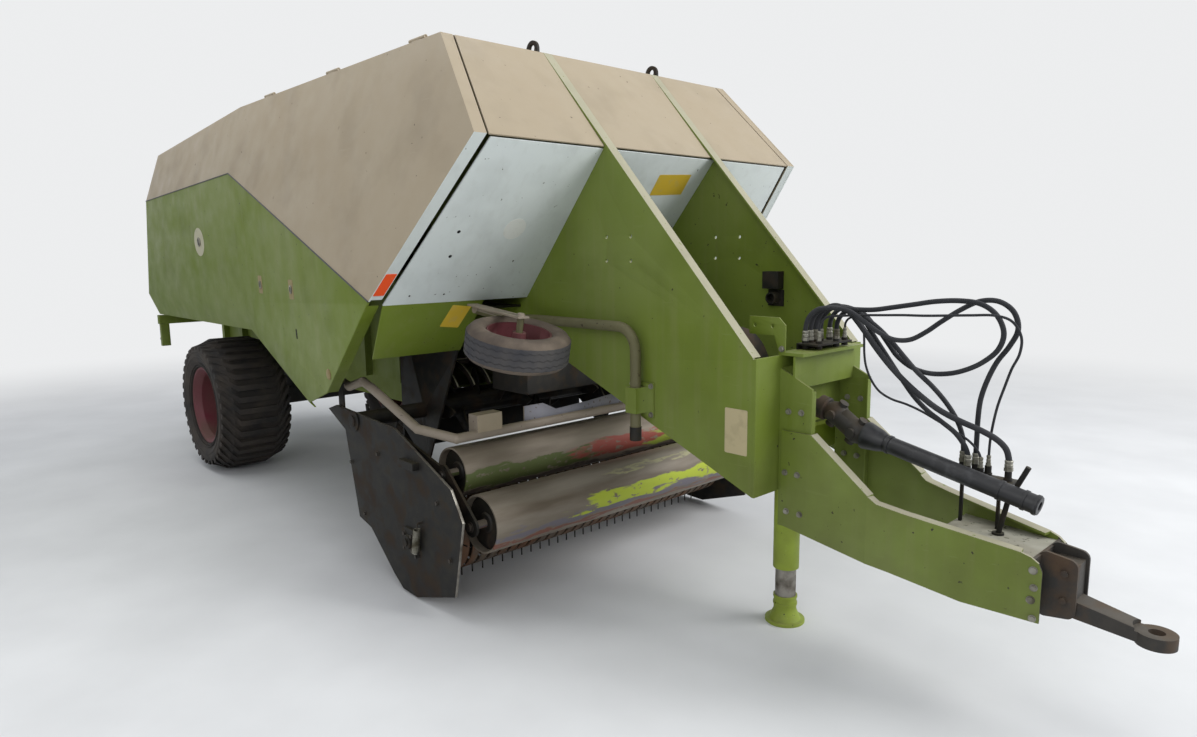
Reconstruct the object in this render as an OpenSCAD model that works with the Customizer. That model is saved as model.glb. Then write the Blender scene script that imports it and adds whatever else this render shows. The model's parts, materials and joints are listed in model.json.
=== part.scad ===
// Square baler: a towed machine that presses hay or straw into large square bales.
// Millimetres. +X points forward to the drawbar eye, +Y to the left, +Z up from the floor.
// Stations along X are measured from the nose edge of the hood, and from_nose() then
// centres the whole machine over the origin.

/* [Body shell] */
// Height of the roof
roof_z = 2731; // [2680:1:2800]
// Height of the roof's rear edge
roof_rear_z = 2590; // [2540:1:2640]
// Half width of the roof
roof_half = 1016; // [990:1:1050]
// Height of the hood's nose edge
nose_z = 2234; // [2200:1:2280]
// Half width over the side panels at the nose edge
nose_half = 1156; // [1130:1:1190]
// Distance from the nose edge back to the roof's front edge
roof_set_back = 440; // [400:1:480]
// Distance from the nose edge back to the fold in the roof
fold_set_back = 2940; // [2800:1:3050]
// Distance from the nose edge back to the roof's rear edge
roof_length = 4930; // [4850:1:5000]
// Height of the front end of the seam between the beige and the green panel
seam_z = 1527; // [1480:1:1580]
// Height of the seam at the panel's crease
crease_z = 2285; // [2240:1:2340]
// Height of the seam's rear end
rear_seam_z = 2208; // [2160:1:2240]
// Height of the green panel's lower edge over the wheel
arch_z = 1420; // [1400:1:1480]
// Thickness of a side panel with its frame
panel_t = 10; // [8:1:16]
// Width of the return along the front edge of a side panel
flange_w = 64; // [50:1:75]
// Thickness of a fixed cover sheet
sheet_t = 8; // [6:1:12]
// Gap between a side panel and the fixed covers beside it
shut_gap = 12; // [8:1:20]
// How far the white hood face recedes for each millimetre of height
undercut = 0.849; // [0.8:0.001:0.9]
// Height of the lower edge of the white hood faces
white_z = 1503; // [1480:1:1540]
// Height of the lower edge of the green front skirt
skirt_z = 1222; // [1200:1:1300]

/* [Frame plates] */
// Width between the outer faces of the two frame plates
frame_w = 837; // [820:1:860]
// Thickness of a frame plate
plate_t = 12; // [8:1:16]
// Width of the flange along the sloping edge
strip_w = 55; // [45:1:70]
// Distance from the nose edge forward to the plates' front edge
plate_front = 869; // [850:1:890]
// Height of the plates' upper front corner
plate_top_z = 1303; // [1290:1:1320]
// Height of the plates' lower front corner
plate_low_z = 716; // [690:1:740]

/* [Bale chamber] */
// Inside height of the bale channel
channel_h = 700; // [680:1:720]
// Height of the channel's floor
channel_z = 900; // [890:1:920]
// Thickness of the channel's walls
channel_t = 12; // [10:1:16]
// Distance from the nose edge back to the channel's front end
channel_front = 1500; // [1480:1:1540]
// Distance from the nose edge back to the channel's rear end
channel_rear = 5450; // [5400:1:5480]

/* [Wheels] */
// Radius of a road wheel to the tips of the tyre's lugs
tyre_r = 535; // [520:1:550]
// Width of a road wheel's tyre
tyre_w = 550; // [500:1:560]
// Radius of the rim's outer edge
rim_r = 300; // [280:1:320]
// Height of a lug
lug_h = 26; // [16:1:32]
// Number of bars round the tread
lug_count = 36; // [30:1:40]
// Distance from the nose edge back to the axle
axle_set_back = 4070; // [4000:1:4150]
// Half width over the outer faces of the tyres
track_half = 1095; // [1080:1:1110]
// Side of the axle's square beam
axle_beam = 130; // [100:1:150]

/* [Drawbar] */
// Half width of the drawbar's head
head_half = 243; // [235:1:255]
// Half width of the drawbar at its front end
draw_front_half = 145; // [135:1:160]
// Thickness of the drawbar's side plates
draw_t = 12; // [8:1:16]
// Distance from the nose edge forward to the drawbar's front end
draw_front = 1910; // [1890:1:1940]
// Distance from the nose edge forward to the centre of the eye
eye_x = 2229; // [2200:1:2250]
// Height of the eye's centre
eye_z = 436; // [420:1:450]
// Radius of the eye's bore
eye_bore_r = 25.5; // [20:0.5:30]
// Outer radius of the eye
eye_r = 62; // [55:1:70]

/* [Jack] */
// Distance from the nose edge forward to the jack
jack_x = 770; // [765:1:790]
// Outer radius of the jack's fixed tube
jack_r = 60; // [56:1:66]
// Radius of the jack's sliding leg
leg_r = 48; // [44:1:50]
// Gap between the leg and the tube's bore
leg_gap = 0.8; // [0.5:0.1:1.5]
// Height of the fixed tube's lower end
jack_low_z = 266; // [255:1:290]
// Radius of the jack's foot
foot_r = 92; // [80:1:100]
// Length of the jack's stroke
jack_stroke = 125; // [100:1:128]

/* [Pickup] */
// Half width over the pickup's side plates
pickup_half = 1140; // [1130:1:1150]
// Thickness of a pickup side plate
pickup_t = 14; // [8:1:18]
// Distance from the nose edge back to the tine reel's axis
reel_set_back = 700; // [690:1:720]
// Height of the tine reel's axis
reel_z = 300; // [295:1:310]
// Radius to the tips of the tines
tine_r = 268; // [250:1:272]
// Radius of the stripper bands
band_r = 205; // [195:1:210]
// Number of stripper bands
band_count = 33; // [20:1:34]
// Half length of the crop rollers
roller_half = 1000; // [980:1:1020]
// Radius of the upper crop roller
roller_upper_r = 127; // [120:1:130]
// Radius of the lower crop roller
roller_lower_r = 143; // [136:1:146]
// Radius of the guard tube over the pickup
guard_r = 24; // [18:1:28]

/* [Feeder] */
// Distance from the nose edge back to the feeder rotor
feeder_set_back = 1250; // [1240:1:1270]
// Height of the feeder rotor
feeder_z = 840; // [830:1:850]
// Radius to the tips of the feeder's arms
feeder_r = 215; // [200:1:220]

/* [Stored gauge wheels] */
// Radius of a gauge wheel
gauge_r = 240; // [220:1:250]
// Width of a gauge wheel
gauge_w = 165; // [150:1:180]
// Angle by which a stored gauge wheel leans forwards
gauge_lean = 13; // [0:1:15]

/* [Hoses] */
// Radius of a hydraulic hose
hose_r = 10; // [8:0.5:10]
// Radius of the thick electric cable
thick_r = 12; // [9:0.5:12]
// Radius of a thin cable
cable_r = 5; // [3:0.5:6]

/* [Hidden] */
$fn = 48;

beige = "#B7A58A";
white = "#D9E2DE";
green = "#5E7A22";
dark = "#26281F";
maroon = "#6A2430";
rubber = "#232120";
grey = "#8E8F8B";
black = "#1C1D1F";

// Overall ends of the machine, which the origin lies between
front_end = eye_x + eye_r;
chute_t = 60;
chute_gap = 40;
rear_end = -(channel_rear + chute_gap + chute_t);
mid_x = (front_end + rear_end) / 2;

// How far a side panel leans outwards for each millimetre below its top edge
lean = (nose_half - roof_half) / (roof_z - nose_z);
frame_half = frame_w / 2;
axle_x = -axle_set_back;
reel_x = -reel_set_back;
feeder_x = -feeder_set_back;

// Half width over a side panel at height z, under a roof edge at height edge_z
function half_at(z, edge_z = roof_z) = roof_half + lean * (edge_z - z);

// Station of the white hood face at height z
function white_x(z) = -undercut * (nose_z - z);

// Height of the frame plates' sloping edge at station x
strip_fall = (roof_z - plate_top_z) / (plate_front + roof_set_back);
function strip_z(x) = plate_top_z + strip_fall * (plate_front - x);

// Puts a piece that is measured from the nose edge into the machine's own frame
module from_nose() { translate([-mid_x, 0, 0]) children(); }

// A piece and its mirror image on the other side
module both_sides() {
    children();
    mirror([0, 1, 0]) children();
}

// Extrudes a side-view outline (x, z) from y0 to y1
module across(y0, y1) {
    translate([0, y1, 0]) rotate([90, 0, 0]) linear_extrude(y1 - y0) children();
}

// Lays an outline (distance down the slope, y) on the slope from a to b (x, z)
module on_slope(a, b) {
    d = (b - a) / norm(b - a);
    multmatrix([[d[0], 0, -d[1], a[0]], [0, 1, 0, 0], [d[1], 0, d[0], a[1]], [0, 0, 0, 1]]) children();
}

// A round bar between two points
module bar(a, b, r) {
    v = b - a;
    translate(a) rotate([0, acos(v[2] / norm(v)), atan2(v[1], v[0])]) cylinder(r = r, h = norm(v));
}

// A round bar through a list of points, with a slightly thicker ball at each bend
module bent_bar(path, r) {
    for (i = [1 : len(path) - 1]) bar(path[i - 1], path[i], r);
    for (i = [1 : 1 : len(path) - 2]) translate(path[i]) sphere(r = r + 1);
}

// A round tube with one ring at each point of path; no stretch of it runs along the vector side
module sweep(path, r, sides, side, start, end) {
    last = len(path) - 1;
    polyhedron(
        points = [for (i = [0 : last])
            let (run = i == 0 ? start : i == last ? end : path[i + 1] - path[i - 1],
                u = cross(side, run) / norm(cross(side, run)), v = cross(run, u) / norm(cross(run, u)))
            for (k = [0 : sides - 1]) path[i] + r * (cos(k * 360 / sides) * u + sin(k * 360 / sides) * v)],
        faces = [
            [for (k = [0 : sides - 1]) k],
            for (i = [0 : last - 1], k = [0 : sides - 1], half_face = [0, 1])
                let (a = i * sides + k, b = i * sides + (k + 1) % sides)
                half_face == 0 ? [a, a + sides, b + sides] : [a, b + sides, b],
            [for (k = [sides - 1 : -1 : 0]) last * sides + k]]);
}

// Hinge knuckle along X with its web down to an edge at height web_z
module knuckle_x(x0, x1, y0, y1, web_z) {
    translate([x0, hinge_half, hinge_z]) rotate([0, 90, 0]) cylinder(r = knuckle_r, h = x1 - x0);
    translate([x0, y0, web_z]) cube([x1 - x0, y1 - y0, hinge_z - web_z - knuckle_r / 2]);
}

// A cylinder along Y between y0 and y1
module along_y(x, z, r, y0, y1) {
    translate([x, y1, z]) rotate([90, 0, 0]) cylinder(r = r, h = y1 - y0);
}

// Hinges of the side panels, along the roof's edges
knuckle_r = 10;
pin_r = 5;
pin_gap = 0.05;
hinge_half = roof_half - 16;
hinge_z = roof_z + knuckle_r + 1;
hinge_len = 80;
hinge_x = [-700, -1600, -2500];

// Side panels: outer corners of the left one (x, y, z)
roof_front_x = -roof_set_back;
fold_x = -fold_set_back;
crease_x = fold_x + 33;
roof_rear_x = -roof_length;
rear_seam_x = roof_rear_x - 70;
rear_low_x = roof_rear_x - 220;
P_TOP = [roof_front_x, roof_half, roof_z];
P_NOSE = [0, nose_half, nose_z];
P_SEAM = [white_x(seam_z), half_at(seam_z), seam_z];
P_CREASE = [crease_x, half_at(crease_z), crease_z];
P_FOLD = [fold_x, roof_half, roof_z];
P_REAR = [roof_rear_x, roof_half, roof_rear_z];
P_REAR_SEAM = [rear_seam_x, half_at(rear_seam_z, roof_rear_z), rear_seam_z];
P_TIP = [-1330, 1250, 1000];
P_TOE = [-1610, 1233, 908];
P_TOE_IN = [-1590, 1213, 880];
P_ARCH = [crease_x, 1111, arch_z];
P_ARCH_IN = [crease_x + 40, 1075, arch_z - 190];
P_REAR_LOW = [rear_low_x, 1130, arch_z - 10];
P_REAR_IN = [rear_low_x + 90, 1080, arch_z - 190];

// A folded sheet: outer corners, outer faces clockwise from outside, and its outline
module folded_sheet(corners, faces, outline, t) {
    n = len(corners);
    polyhedron(
        points = concat(corners, [for (p = corners) p - [0, t, 0]]),
        faces = concat(
            faces,
            [for (f = faces) [for (i = [len(f) - 1 : -1 : 0]) f[i] + n]],
            [for (i = [0 : len(outline) - 1])
                let (a = outline[i], b = outline[(i + 1) % len(outline)]) [b, a, a + n, b + n]]
        )
    );
}

// A return strip along the edge from a to b, w wide inwards and t deep to the rear
module return_strip(a, b, w, t) {
    in = [0, w, 0];
    back = [t, 0, 0];
    translate([-1, -1, 0]) polyhedron(
        points = [a, b, b - in, a - in, a - back, b - back, b - in - back, a - in - back],
        faces = [[0, 1, 2, 3], [7, 6, 5, 4], [4, 5, 1, 0], [5, 6, 2, 1], [6, 7, 3, 2], [7, 4, 0, 3]]
    );
}

module panel_upper() {
    color(beige) {
        folded_sheet([P_TOP, P_FOLD, P_CREASE, P_SEAM, P_NOSE, P_REAR, P_REAR_SEAM],
            [[0, 1, 2, 3, 4], [1, 5, 6], [1, 6, 2]], [0, 1, 5, 6, 2, 3, 4], panel_t);
        return_strip(P_TOP, P_NOSE, flange_w, panel_t);
        return_strip(P_NOSE, P_SEAM + 0.01 * (P_NOSE - P_SEAM), flange_w, panel_t);
        for (x = hinge_x) {
            knuckle_x(x, x + hinge_len, hinge_half + 3, hinge_half + 12, roof_z - 8);
            translate([x - 28, hinge_half, hinge_z]) rotate([0, 90, 0])
                cylinder(r = pin_r, h = hinge_len + 56);
        }
    }
}

module panel_lower() {
    color(green) {
        folded_sheet([P_CREASE, P_REAR_SEAM, P_REAR_LOW, P_REAR_IN, P_ARCH_IN, P_TOE_IN, P_TOE, P_TIP,
            P_SEAM, P_ARCH],
            [[0, 9, 8], [9, 7, 8], [9, 6, 7], [0, 1, 2], [0, 2, 9], [9, 2, 3], [9, 3, 4], [6, 9, 4],
                [6, 4, 5]],
            [0, 1, 2, 3, 4, 5, 6, 7, 8], panel_t);
        return_strip(P_SEAM + 0.04 * (P_TIP - P_SEAM), P_TIP, flange_w, panel_t);
    }
}

// Roof and hood
module roof() {
    color(beige) difference() {
        across(-(roof_half - panel_t - 9), roof_half - panel_t - 9) polygon([
            [roof_front_x - sheet_t, roof_z], [fold_x, roof_z], [roof_rear_x, roof_rear_z],
            [roof_rear_x, roof_rear_z - sheet_t], [fold_x, roof_z - sheet_t],
            [roof_front_x - sheet_t, roof_z - sheet_t]]);
        both_sides() translate([roof_front_x - 40, roof_half - flange_w - shut_gap, roof_z - 50])
            cube([100, 100, 100]);
    }
    color(beige) both_sides() for (x = hinge_x) for (end = [x - 31, x + hinge_len + 1]) difference() {
        knuckle_x(end, end + 30, hinge_half - 22, hinge_half - 8, roof_z - sheet_t);
        translate([end - 1, hinge_half, hinge_z]) rotate([0, 90, 0]) cylinder(r = pin_r + pin_gap, h = 32);
    }
}

hood_top = [roof_front_x, roof_z];
hood_nose = [0, nose_z];
// Inner edge of the frame plates' flanges along the slope
strip_y = frame_half + 2 - strip_w;
hood_low = [white_x(white_z), white_z];

module hood_upper() {
    a = hood_top;
    b = hood_nose;
    edge = flange_w + shut_gap;
    len_ab = norm(b - a) - 1;
    color(beige) on_slope(a, b) translate([0, 0, -sheet_t]) {
        both_sides() linear_extrude(sheet_t) polygon([
            [0, frame_half + 3], [len_ab, frame_half + 3], [len_ab, half_at(nose_z) - edge],
            [0, half_at(roof_z) - edge]]);
        linear_extrude(sheet_t) translate([0, -strip_y])
            square([len_ab, 2 * strip_y]);
    }
}

module hood_lower() {
    edge = flange_w + shut_gap + 14;
    len_ab = norm(hood_low - hood_nose);
    start = sheet_t + 8;
    start_half = half_at(nose_z) - edge;
    color(white) on_slope(hood_nose, hood_low) translate([0, 0, -sheet_t]) {
        both_sides() linear_extrude(sheet_t) polygon([
            [start, frame_half], [len_ab, frame_half], [len_ab, half_at(white_z) - edge],
            [start, start_half]]);
        linear_extrude(sheet_t) translate([start, -(frame_half - plate_t)])
            square([len_ab - start, frame_w - 2 * plate_t]);
    }
}

module front_skirt() {
    low = [white_x(skirt_z), skirt_z];
    edge = flange_w + shut_gap + 14;
    color(green) both_sides() on_slope(hood_low, low) translate([0, 0, -sheet_t]) linear_extrude(sheet_t)
        polygon([[0, feed_half], [norm(low - hood_low), feed_half], [norm(low - hood_low), roof_half + 199],
            [0, half_at(white_z) - edge]]);
}

// Frame plates on both sides of the drive, with a flange along the sloping edge
plate_rise_x = -300;
plate_rise_z = 1185;
module frame_plate() {
    flange_t = 10;
    color(green) {
        difference() {
            across(frame_half - plate_t, frame_half) polygon([
                [plate_front, plate_top_z - flange_t / 2], [plate_front, plate_low_z],
                [plate_rise_x, plate_rise_z], [-channel_front, plate_rise_z],
                [-channel_front, roof_z - sheet_t], [roof_front_x, roof_z - sheet_t]]);
            for (x = [3, 165], z = [1700, 1812]) along_y(x, z, 9, 0, frame_half + 10);
        }
        on_slope(hood_top, [plate_front, plate_top_z]) translate([0, strip_y, -flange_t])
            cube([norm([plate_front, plate_top_z] - hood_top) - 6, strip_w, flange_t]);
    }
}

// Bale channel
rib_w = 60;
rib_d = 50;
module chamber_sides() {
    z0 = channel_z - channel_t;
    z1 = channel_z + channel_h + channel_t;
    color(green) both_sides() {
        translate([-channel_rear, frame_half - channel_t, z0])
            cube([channel_rear - channel_front, channel_t, z1 - z0]);
        for (x = [2000 : 480 : 5380]) translate([-x, frame_half, z0]) cube([rib_w, rib_d, z1 - z0]);
    }
}

module channel_sheet(z) {
    translate([-channel_rear, -(frame_half - channel_t), z])
        cube([channel_rear - channel_front, frame_w - 2 * channel_t, channel_t]);
}

rail_h = 150;
module chamber_floor() {
    color(green) {
        channel_sheet(channel_z - channel_t);
        both_sides()
            translate([-channel_rear + 150, frame_half - channel_t - 90, channel_z - channel_t - rail_h])
            cube([channel_rear - channel_front - 150, 80, rail_h]);
        both_sides() {
            across(lug_y, lug_y + 22) hull() {
                translate(chute_hinge) circle(r = 20);
                translate([-channel_rear, channel_z - channel_t]) square([1, 18]);
            }
            along_y(chute_hinge[0], chute_hinge[1], chute_pin_r, lug_y + 21, frame_half - channel_t);
        }
    }
}

module chamber_top() {
    color(green) channel_sheet(channel_z + channel_h);
}

// Portal over the channel's rear part, which carries the roof and the rear hood's hinges
portal_w = 50;
portal_x = roof_rear_x;
module rear_portal() {
    top = roof_rear_z - sheet_t;
    base = channel_z + channel_h + channel_t;
    color(green) {
        both_sides() translate([portal_x, frame_half - 60, base]) cube([portal_w, 60, top - base]);
        translate([portal_x, -(roof_half - 60), top - 60]) cube([portal_w, 2 * (roof_half - 60), 60]);
        both_sides() for (y = [rear_hinge_y - 61 - 24, rear_hinge_y + 61]) difference() {
            across(y, y + 24) hull() {
                translate(rear_hinge) circle(r = 12);
                translate([portal_x, top - 50]) square([1, 40]);
            }
            along_y(rear_hinge[0], rear_hinge[1], pin_r + pin_gap, y - 1, y + 25);
        }
    }
}

// Axle with its brackets up to the channel's rails
hub_half = track_half - tyre_w / 2;
stub_r = 45;
module axle() {
    top = channel_z - channel_t - rail_h;
    color(dark) {
        translate([axle_x - axle_beam / 2, -(hub_half - 120), tyre_r - axle_beam / 2])
            cube([axle_beam, 2 * (hub_half - 120), axle_beam]);
        both_sides() {
            along_y(axle_x, tyre_r, stub_r, hub_half - 121, hub_half + 20);
            along_y(axle_x, tyre_r, 110, hub_half - 60, hub_half - 20);
            across(frame_half - channel_t - 80, frame_half - channel_t - 20) polygon([
                [axle_x - 300, top], [axle_x + 300, top],
                [axle_x + axle_beam / 2, tyre_r + axle_beam / 2],
                [axle_x - axle_beam / 2, tyre_r + axle_beam / 2]]);
        }
    }
}

// Road tyre: a wide flotation tyre with bars across its tread, centred on its own middle plane
module tyre() {
    carcass_r = tyre_r - lug_h;
    half = tyre_w / 2;
    color(rubber) rotate([90, 0, 0]) {
        rotate_extrude($fn = lug_count) polygon([
            [rim_r - 15, -half + 90], [rim_r + 10, -half + 40], [rim_r + 90, -half + 4],
            [carcass_r - 60, -half + 4], [carcass_r, -half + 90],
            [carcass_r, half - 90], [carcass_r - 60, half - 4],
            [rim_r + 90, half - 4], [rim_r + 10, half - 40], [rim_r - 15, half - 90]]);
        for (i = [0 : lug_count - 1]) rotate([0, 0, i * 360 / lug_count]) lug(carcass_r, half);
    }
}

// One bar across the tread: straight in the middle, with both shoulders swept the same way
lug_half = 21;
lug_root = 30;
lug_straight = 0.52;
lug_sweep = 17;
shoulder_drop = 34;
module lug(r, half) {
    top = sqrt(tyre_r * tyre_r - lug_half * lug_half);
    shoulder = half - 6;
    middle = half * lug_straight;
    sections = [
        lug_section(r - lug_root - shoulder_drop, top - 1.5 * shoulder_drop, -shoulder, lug_sweep),
        lug_section(r - lug_root, top, -middle, 0),
        lug_section(r - lug_root, top, middle, 0),
        lug_section(r - lug_root - shoulder_drop, top - 1.5 * shoulder_drop, shoulder, lug_sweep)];
    polyhedron(
        points = [for (section = sections) each section],
        faces = [[0, 1, 2, 3], [15, 14, 13, 12],
            for (k = [0, 4, 8], i = [0 : 3], half_face = [0, 1]) let (j = (i + 1) % 4)
                half_face == 0 ? [k + i, k + i + 4, k + j + 4] : [k + i, k + j + 4, k + j]]);
}

// Corners of a lug between two radii, at distance z from the tyre's middle, turned about its axis
function lug_section(r_in, r_out, z, turn) = [
    for (corner = [[r_in, -lug_half], [r_out, -lug_half], [r_out, lug_half], [r_in, lug_half]])
        [corner[0] * cos(turn) - corner[1] * sin(turn), corner[0] * sin(turn) + corner[1] * cos(turn), z]];

module rim() {
    disc_t = 14;
    half = tyre_w / 2;
    seat = rim_r - 15.3;
    color(maroon) rotate([90, 0, 0]) {
        rotate_extrude() polygon([
            [rim_r - 40, -half + 90], [rim_r - 4, -half + 34], [seat + 25, -half + 34],
            [seat + 25, -half + 40],
            [seat, -half + 90], [seat, half - 90], [seat + 25, half - 40], [seat + 25, half - 34],
            [rim_r - 4, half - 34], [rim_r - 40, half - 90]]);
        difference() {
            union() {
                translate([0, 0, -disc_t / 2 - 10]) cylinder(r = rim_r - 20, h = disc_t);
                translate([0, 0, -4]) cylinder(r = 85, h = 60);
            }
            translate([0, 0, -disc_t - 10]) cylinder(r = stub_r + pin_gap, h = disc_t + 34);
        }
    }
}

module wheel_place(side) {
    translate([axle_x, side * hub_half, tyre_r]) rotate([0, 0, side > 0 ? 180 : 0]) children();
}

// Rear hood: lid between the side panels over the knotters
rear_hood_low = 1760;
rear_hinge = [roof_rear_x - 16, roof_rear_z - 4];
rear_hinge_y = 700;
module rear_hood() {
    a = [roof_rear_x - 30, roof_rear_z - 45];
    b = [rear_seam_x - 6, rear_seam_z];
    c = [rear_seam_x - 6 - (rear_seam_z - rear_hood_low) * 0.15, rear_hood_low];
    gap = panel_t + shut_gap;
    color(beige) {
        rear_sheet(a, b + 3 * (b - a) / norm(b - a), roof_half - gap, half_at(b[1], roof_rear_z) - gap);
        rear_sheet(b, c, half_at(b[1], roof_rear_z) - gap, roof_half + 64 - gap);
    }
    color(beige) for (y = [-rear_hinge_y, rear_hinge_y]) {
        along_y(rear_hinge[0], rear_hinge[1], 10, y - 60, y + 60);
        along_y(rear_hinge[0], rear_hinge[1], pin_r, y - 82, y + 82);
        hull() {
            along_y(rear_hinge[0], rear_hinge[1], 5, y - 60, y + 60);
            along_y(a[0] + 8, a[1] - 8, 5, y - 60, y + 60);
        }
    }
}

module rear_sheet(a, b, half_a, half_b) {
    l = norm(b - a);
    on_slope(a, b) linear_extrude(sheet_t)
        polygon([[0, -half_a], [l, -half_b], [l, half_b], [0, half_a]]);
}

// Bale chute, folded up behind the channel
chute_hinge = [-channel_rear - 30, channel_z - 20];
chute_len = 1010;
chute_pin_r = 12;
lug_y = frame_half - channel_t - 70;
module chute() {
    x0 = -(channel_rear + chute_gap + chute_t);
    half = frame_half - channel_t;
    color(green) {
        both_sides() translate([x0, half - 40, channel_z + 10]) cube([chute_t, 40, chute_len]);
        for (z = [0.02, 0.5, 0.94]) translate([x0, -half, channel_z + 10 + z * chute_len])
            cube([chute_t, 2 * half, 40]);
    }
    color(grey) for (z = [0.15, 0.28, 0.40, 0.63, 0.75, 0.87])
        along_y(x0 + chute_t / 2, channel_z + 10 + z * chute_len, 24, -half + 20, half - 20);
    color(green) both_sides() difference() {
        across(half - 40, half) hull() {
            translate(chute_hinge) circle(r = 24);
            translate([x0, channel_z + 10]) square([chute_t, 20]);
        }
        along_y(chute_hinge[0], chute_hinge[1], chute_pin_r + pin_gap, half - 50, half + 10);
    }
}

// Rear bars with lamp posts on both sides of the channel
module rear_bar() {
    x = -5230;
    color(green) both_sides() {
        translate([x, frame_half, 1130]) cube([60, 1060 - frame_half, 80]);
        translate([x + 5, 980, 930]) cube([50, 70, 260]);
    }
}

// Drawbar head: a box on the frame plates' front edges, with drilled cheeks
head_back = plate_front - 110;
head_front = 1035;
head_top = 1310;
head_low = 560;
lip_w = 30;
module drawbar_head() {
    color(green) {
        difference() {
            translate([plate_front, -frame_half, plate_low_z])
                cube([plate_t, frame_w, plate_top_z - plate_low_z]);
            for (z = [plate_low_z + 60, fly_z + 80]) translate([plate_front - 1, -head_half + draw_t, z])
                cube([plate_t + 2, 2 * (head_half - draw_t), z < fly_z ? 204 : 110]);
            translate([plate_front - 1, 0, fly_z]) rotate([0, 90, 0])
                cylinder(r = shaft_r + pin_gap, h = plate_t + 2);
        }
        both_sides() difference() {
            across(head_half - draw_t, head_half) polygon([
                [plate_front + plate_t, head_top - 62], [head_front, head_top - 137],
                [head_front, head_low], [plate_front + plate_t, head_low]]);
            for (x = [924, 988], z = [630, 800, 1066]) along_y(x, z, 11, 0, frame_half);
        }
        translate([plate_front, -head_half, head_top - 7]) cube([120, 2 * head_half, 14]);
        both_sides() translate([head_front - 7, head_half - lip_w, head_low + 20])
            cube([8, lip_w - 1, head_top - 137 - head_low - 30]);
        difference() {
            across(-head_half, 6 - head_half) polygon([[plate_front - 154, head_top + 152],
                [plate_front - 2, head_top + 152], [plate_front + 31, head_top + 120],
                [plate_front + 31, head_top], [plate_front + 1, head_top],
                [plate_front - 24, head_top + 75], [plate_front - 154, head_top + 75]]);
            for (x = [124, 34]) along_y(plate_front - x, head_top + 115, 9, -head_half - 1, 7 - head_half);
        }
        translate([plate_front + plate_t + 60, -head_half, plate_top_z - 140]) cube([10, 2 * head_half, 138]);
    }
}

// Drawbar: two folded side plates with top flanges, and a plate over the front
module drawbar() {
    color(green) {
        both_sides() draw_plate();
        draw_cover();
    }
    color(dark) draw_clevis();
}

function draw_top(x) = lookup(x, [[900, 990], [1040, 985], [1336, 755], [1444, 735], [1910, 665]]);
function draw_low(x) = lookup(x, [[900, 568], [1394, 490], [1658, 440], [1910, 426]]);
draw_bend = 1300;
function draw_half(x) = x < draw_bend ? head_half + draw_t
    : lookup(x, [[draw_bend, head_half + draw_t], [draw_front, draw_front_half]]);

// Side plate of the drawbar: straight beside the head, then folded inwards to the eye
draw_lip = 48;
module draw_plate() {
    turn = atan2(head_half + draw_t - draw_front_half, draw_front - draw_bend);
    run = (draw_front - draw_bend) / cos(turn);
    straight_top = [[1042, 985], [draw_bend + 2, draw_top(draw_bend + 2)]];
    bent_top = [[-2, draw_top(draw_bend)], [36, 755], [144, 735], [run - 70, 675]];
    across(head_half, head_half + draw_t) polygon([
        [900, draw_low(900)], [draw_bend, draw_low(draw_bend)], [draw_bend, draw_top(draw_bend)],
        [1040, 985], [900, 985]]);
    top_lip(straight_top, head_half - draw_lip + draw_t, head_half + draw_t - 1);
    translate([draw_bend, head_half + draw_t, 0]) rotate([0, 0, -turn]) {
        across(-draw_t, 0) polygon([
            [-2, draw_low(draw_bend)], [94, 490], [358, 440], [run, 426], [run, 615], [run - 12, 645],
            [run - 38, 664], [run - 70, 675], [144, 735], [36, 755], [-2, draw_top(draw_bend)]]);
        top_lip(bent_top, -draw_lip, -1);
    }
}

// Folded lip along a top edge (x, z), 1 mm proud of it
lip_t = 9;
module top_lip(edge, y0, y1) {
    across(y0, y1) polygon(concat([for (p = edge) p + [0, 1]],
        [for (i = [len(edge) - 1 : -1 : 0]) edge[i] - [0, lip_t]]));
}

cover_z = 640;
module draw_cover() {
    color(green) translate([1500, 0, cover_z]) linear_extrude(10) polygon([
        [0, -draw_half(1500) + draw_t + 1], [380, -draw_half(1880) + draw_t + 1],
        [380, draw_half(1880) - draw_t - 1], [0, draw_half(1500) - draw_t - 1]]);
}

// Clevis plates at the front of the drawbar, which hold the eye's shank
clevis_x = 1900;
bolt_r = 12;
module draw_clevis() {
    for (y = [-70, 58]) difference() {
        across(y, y + 12) hull() {
            translate([clevis_x, 640]) circle(r = 30);
            translate([clevis_x + 70, 630]) circle(r = 30);
            translate([clevis_x + 70, 470]) circle(r = 30);
            translate([clevis_x, 460]) circle(r = 30);
        }
        for (z = [505, 605]) along_y(clevis_x + 60, z, bolt_r + pin_gap, y - 1, y + 13);
    }
    translate([clevis_x - 30, -draw_front_half + 3, 440]) cube([12, 2 * draw_front_half - 6, 215]);
}

// Forged eye with its shank between the clevis plates
eye_h = 44;
module hitch_eye() {
    color(dark) difference() {
        union() {
            translate([clevis_x - 10, -58, 450]) cube([100, 116, 180]);
            for (z = [505, 605]) along_y(clevis_x + 60, z, bolt_r, -78, 78);
            hull() {
                translate([clevis_x + 60, -50, 445]) cube([28, 100, 60]);
                translate([eye_x, 0, eye_z - 20]) cylinder(r = 40, h = 40, $fn = 32);
            }
            translate([eye_x, 0, eye_z - 30]) cylinder(r = eye_r, h = 60);
        }
        translate([eye_x, 0, eye_z - 100]) cylinder(r = eye_bore_r, h = 200);
        for (z = [eye_z + eye_h / 2, eye_z - eye_h / 2 - 60]) translate([eye_x, 0, z])
            cylinder(r = eye_r + 8, h = 60);
    }
}

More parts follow.
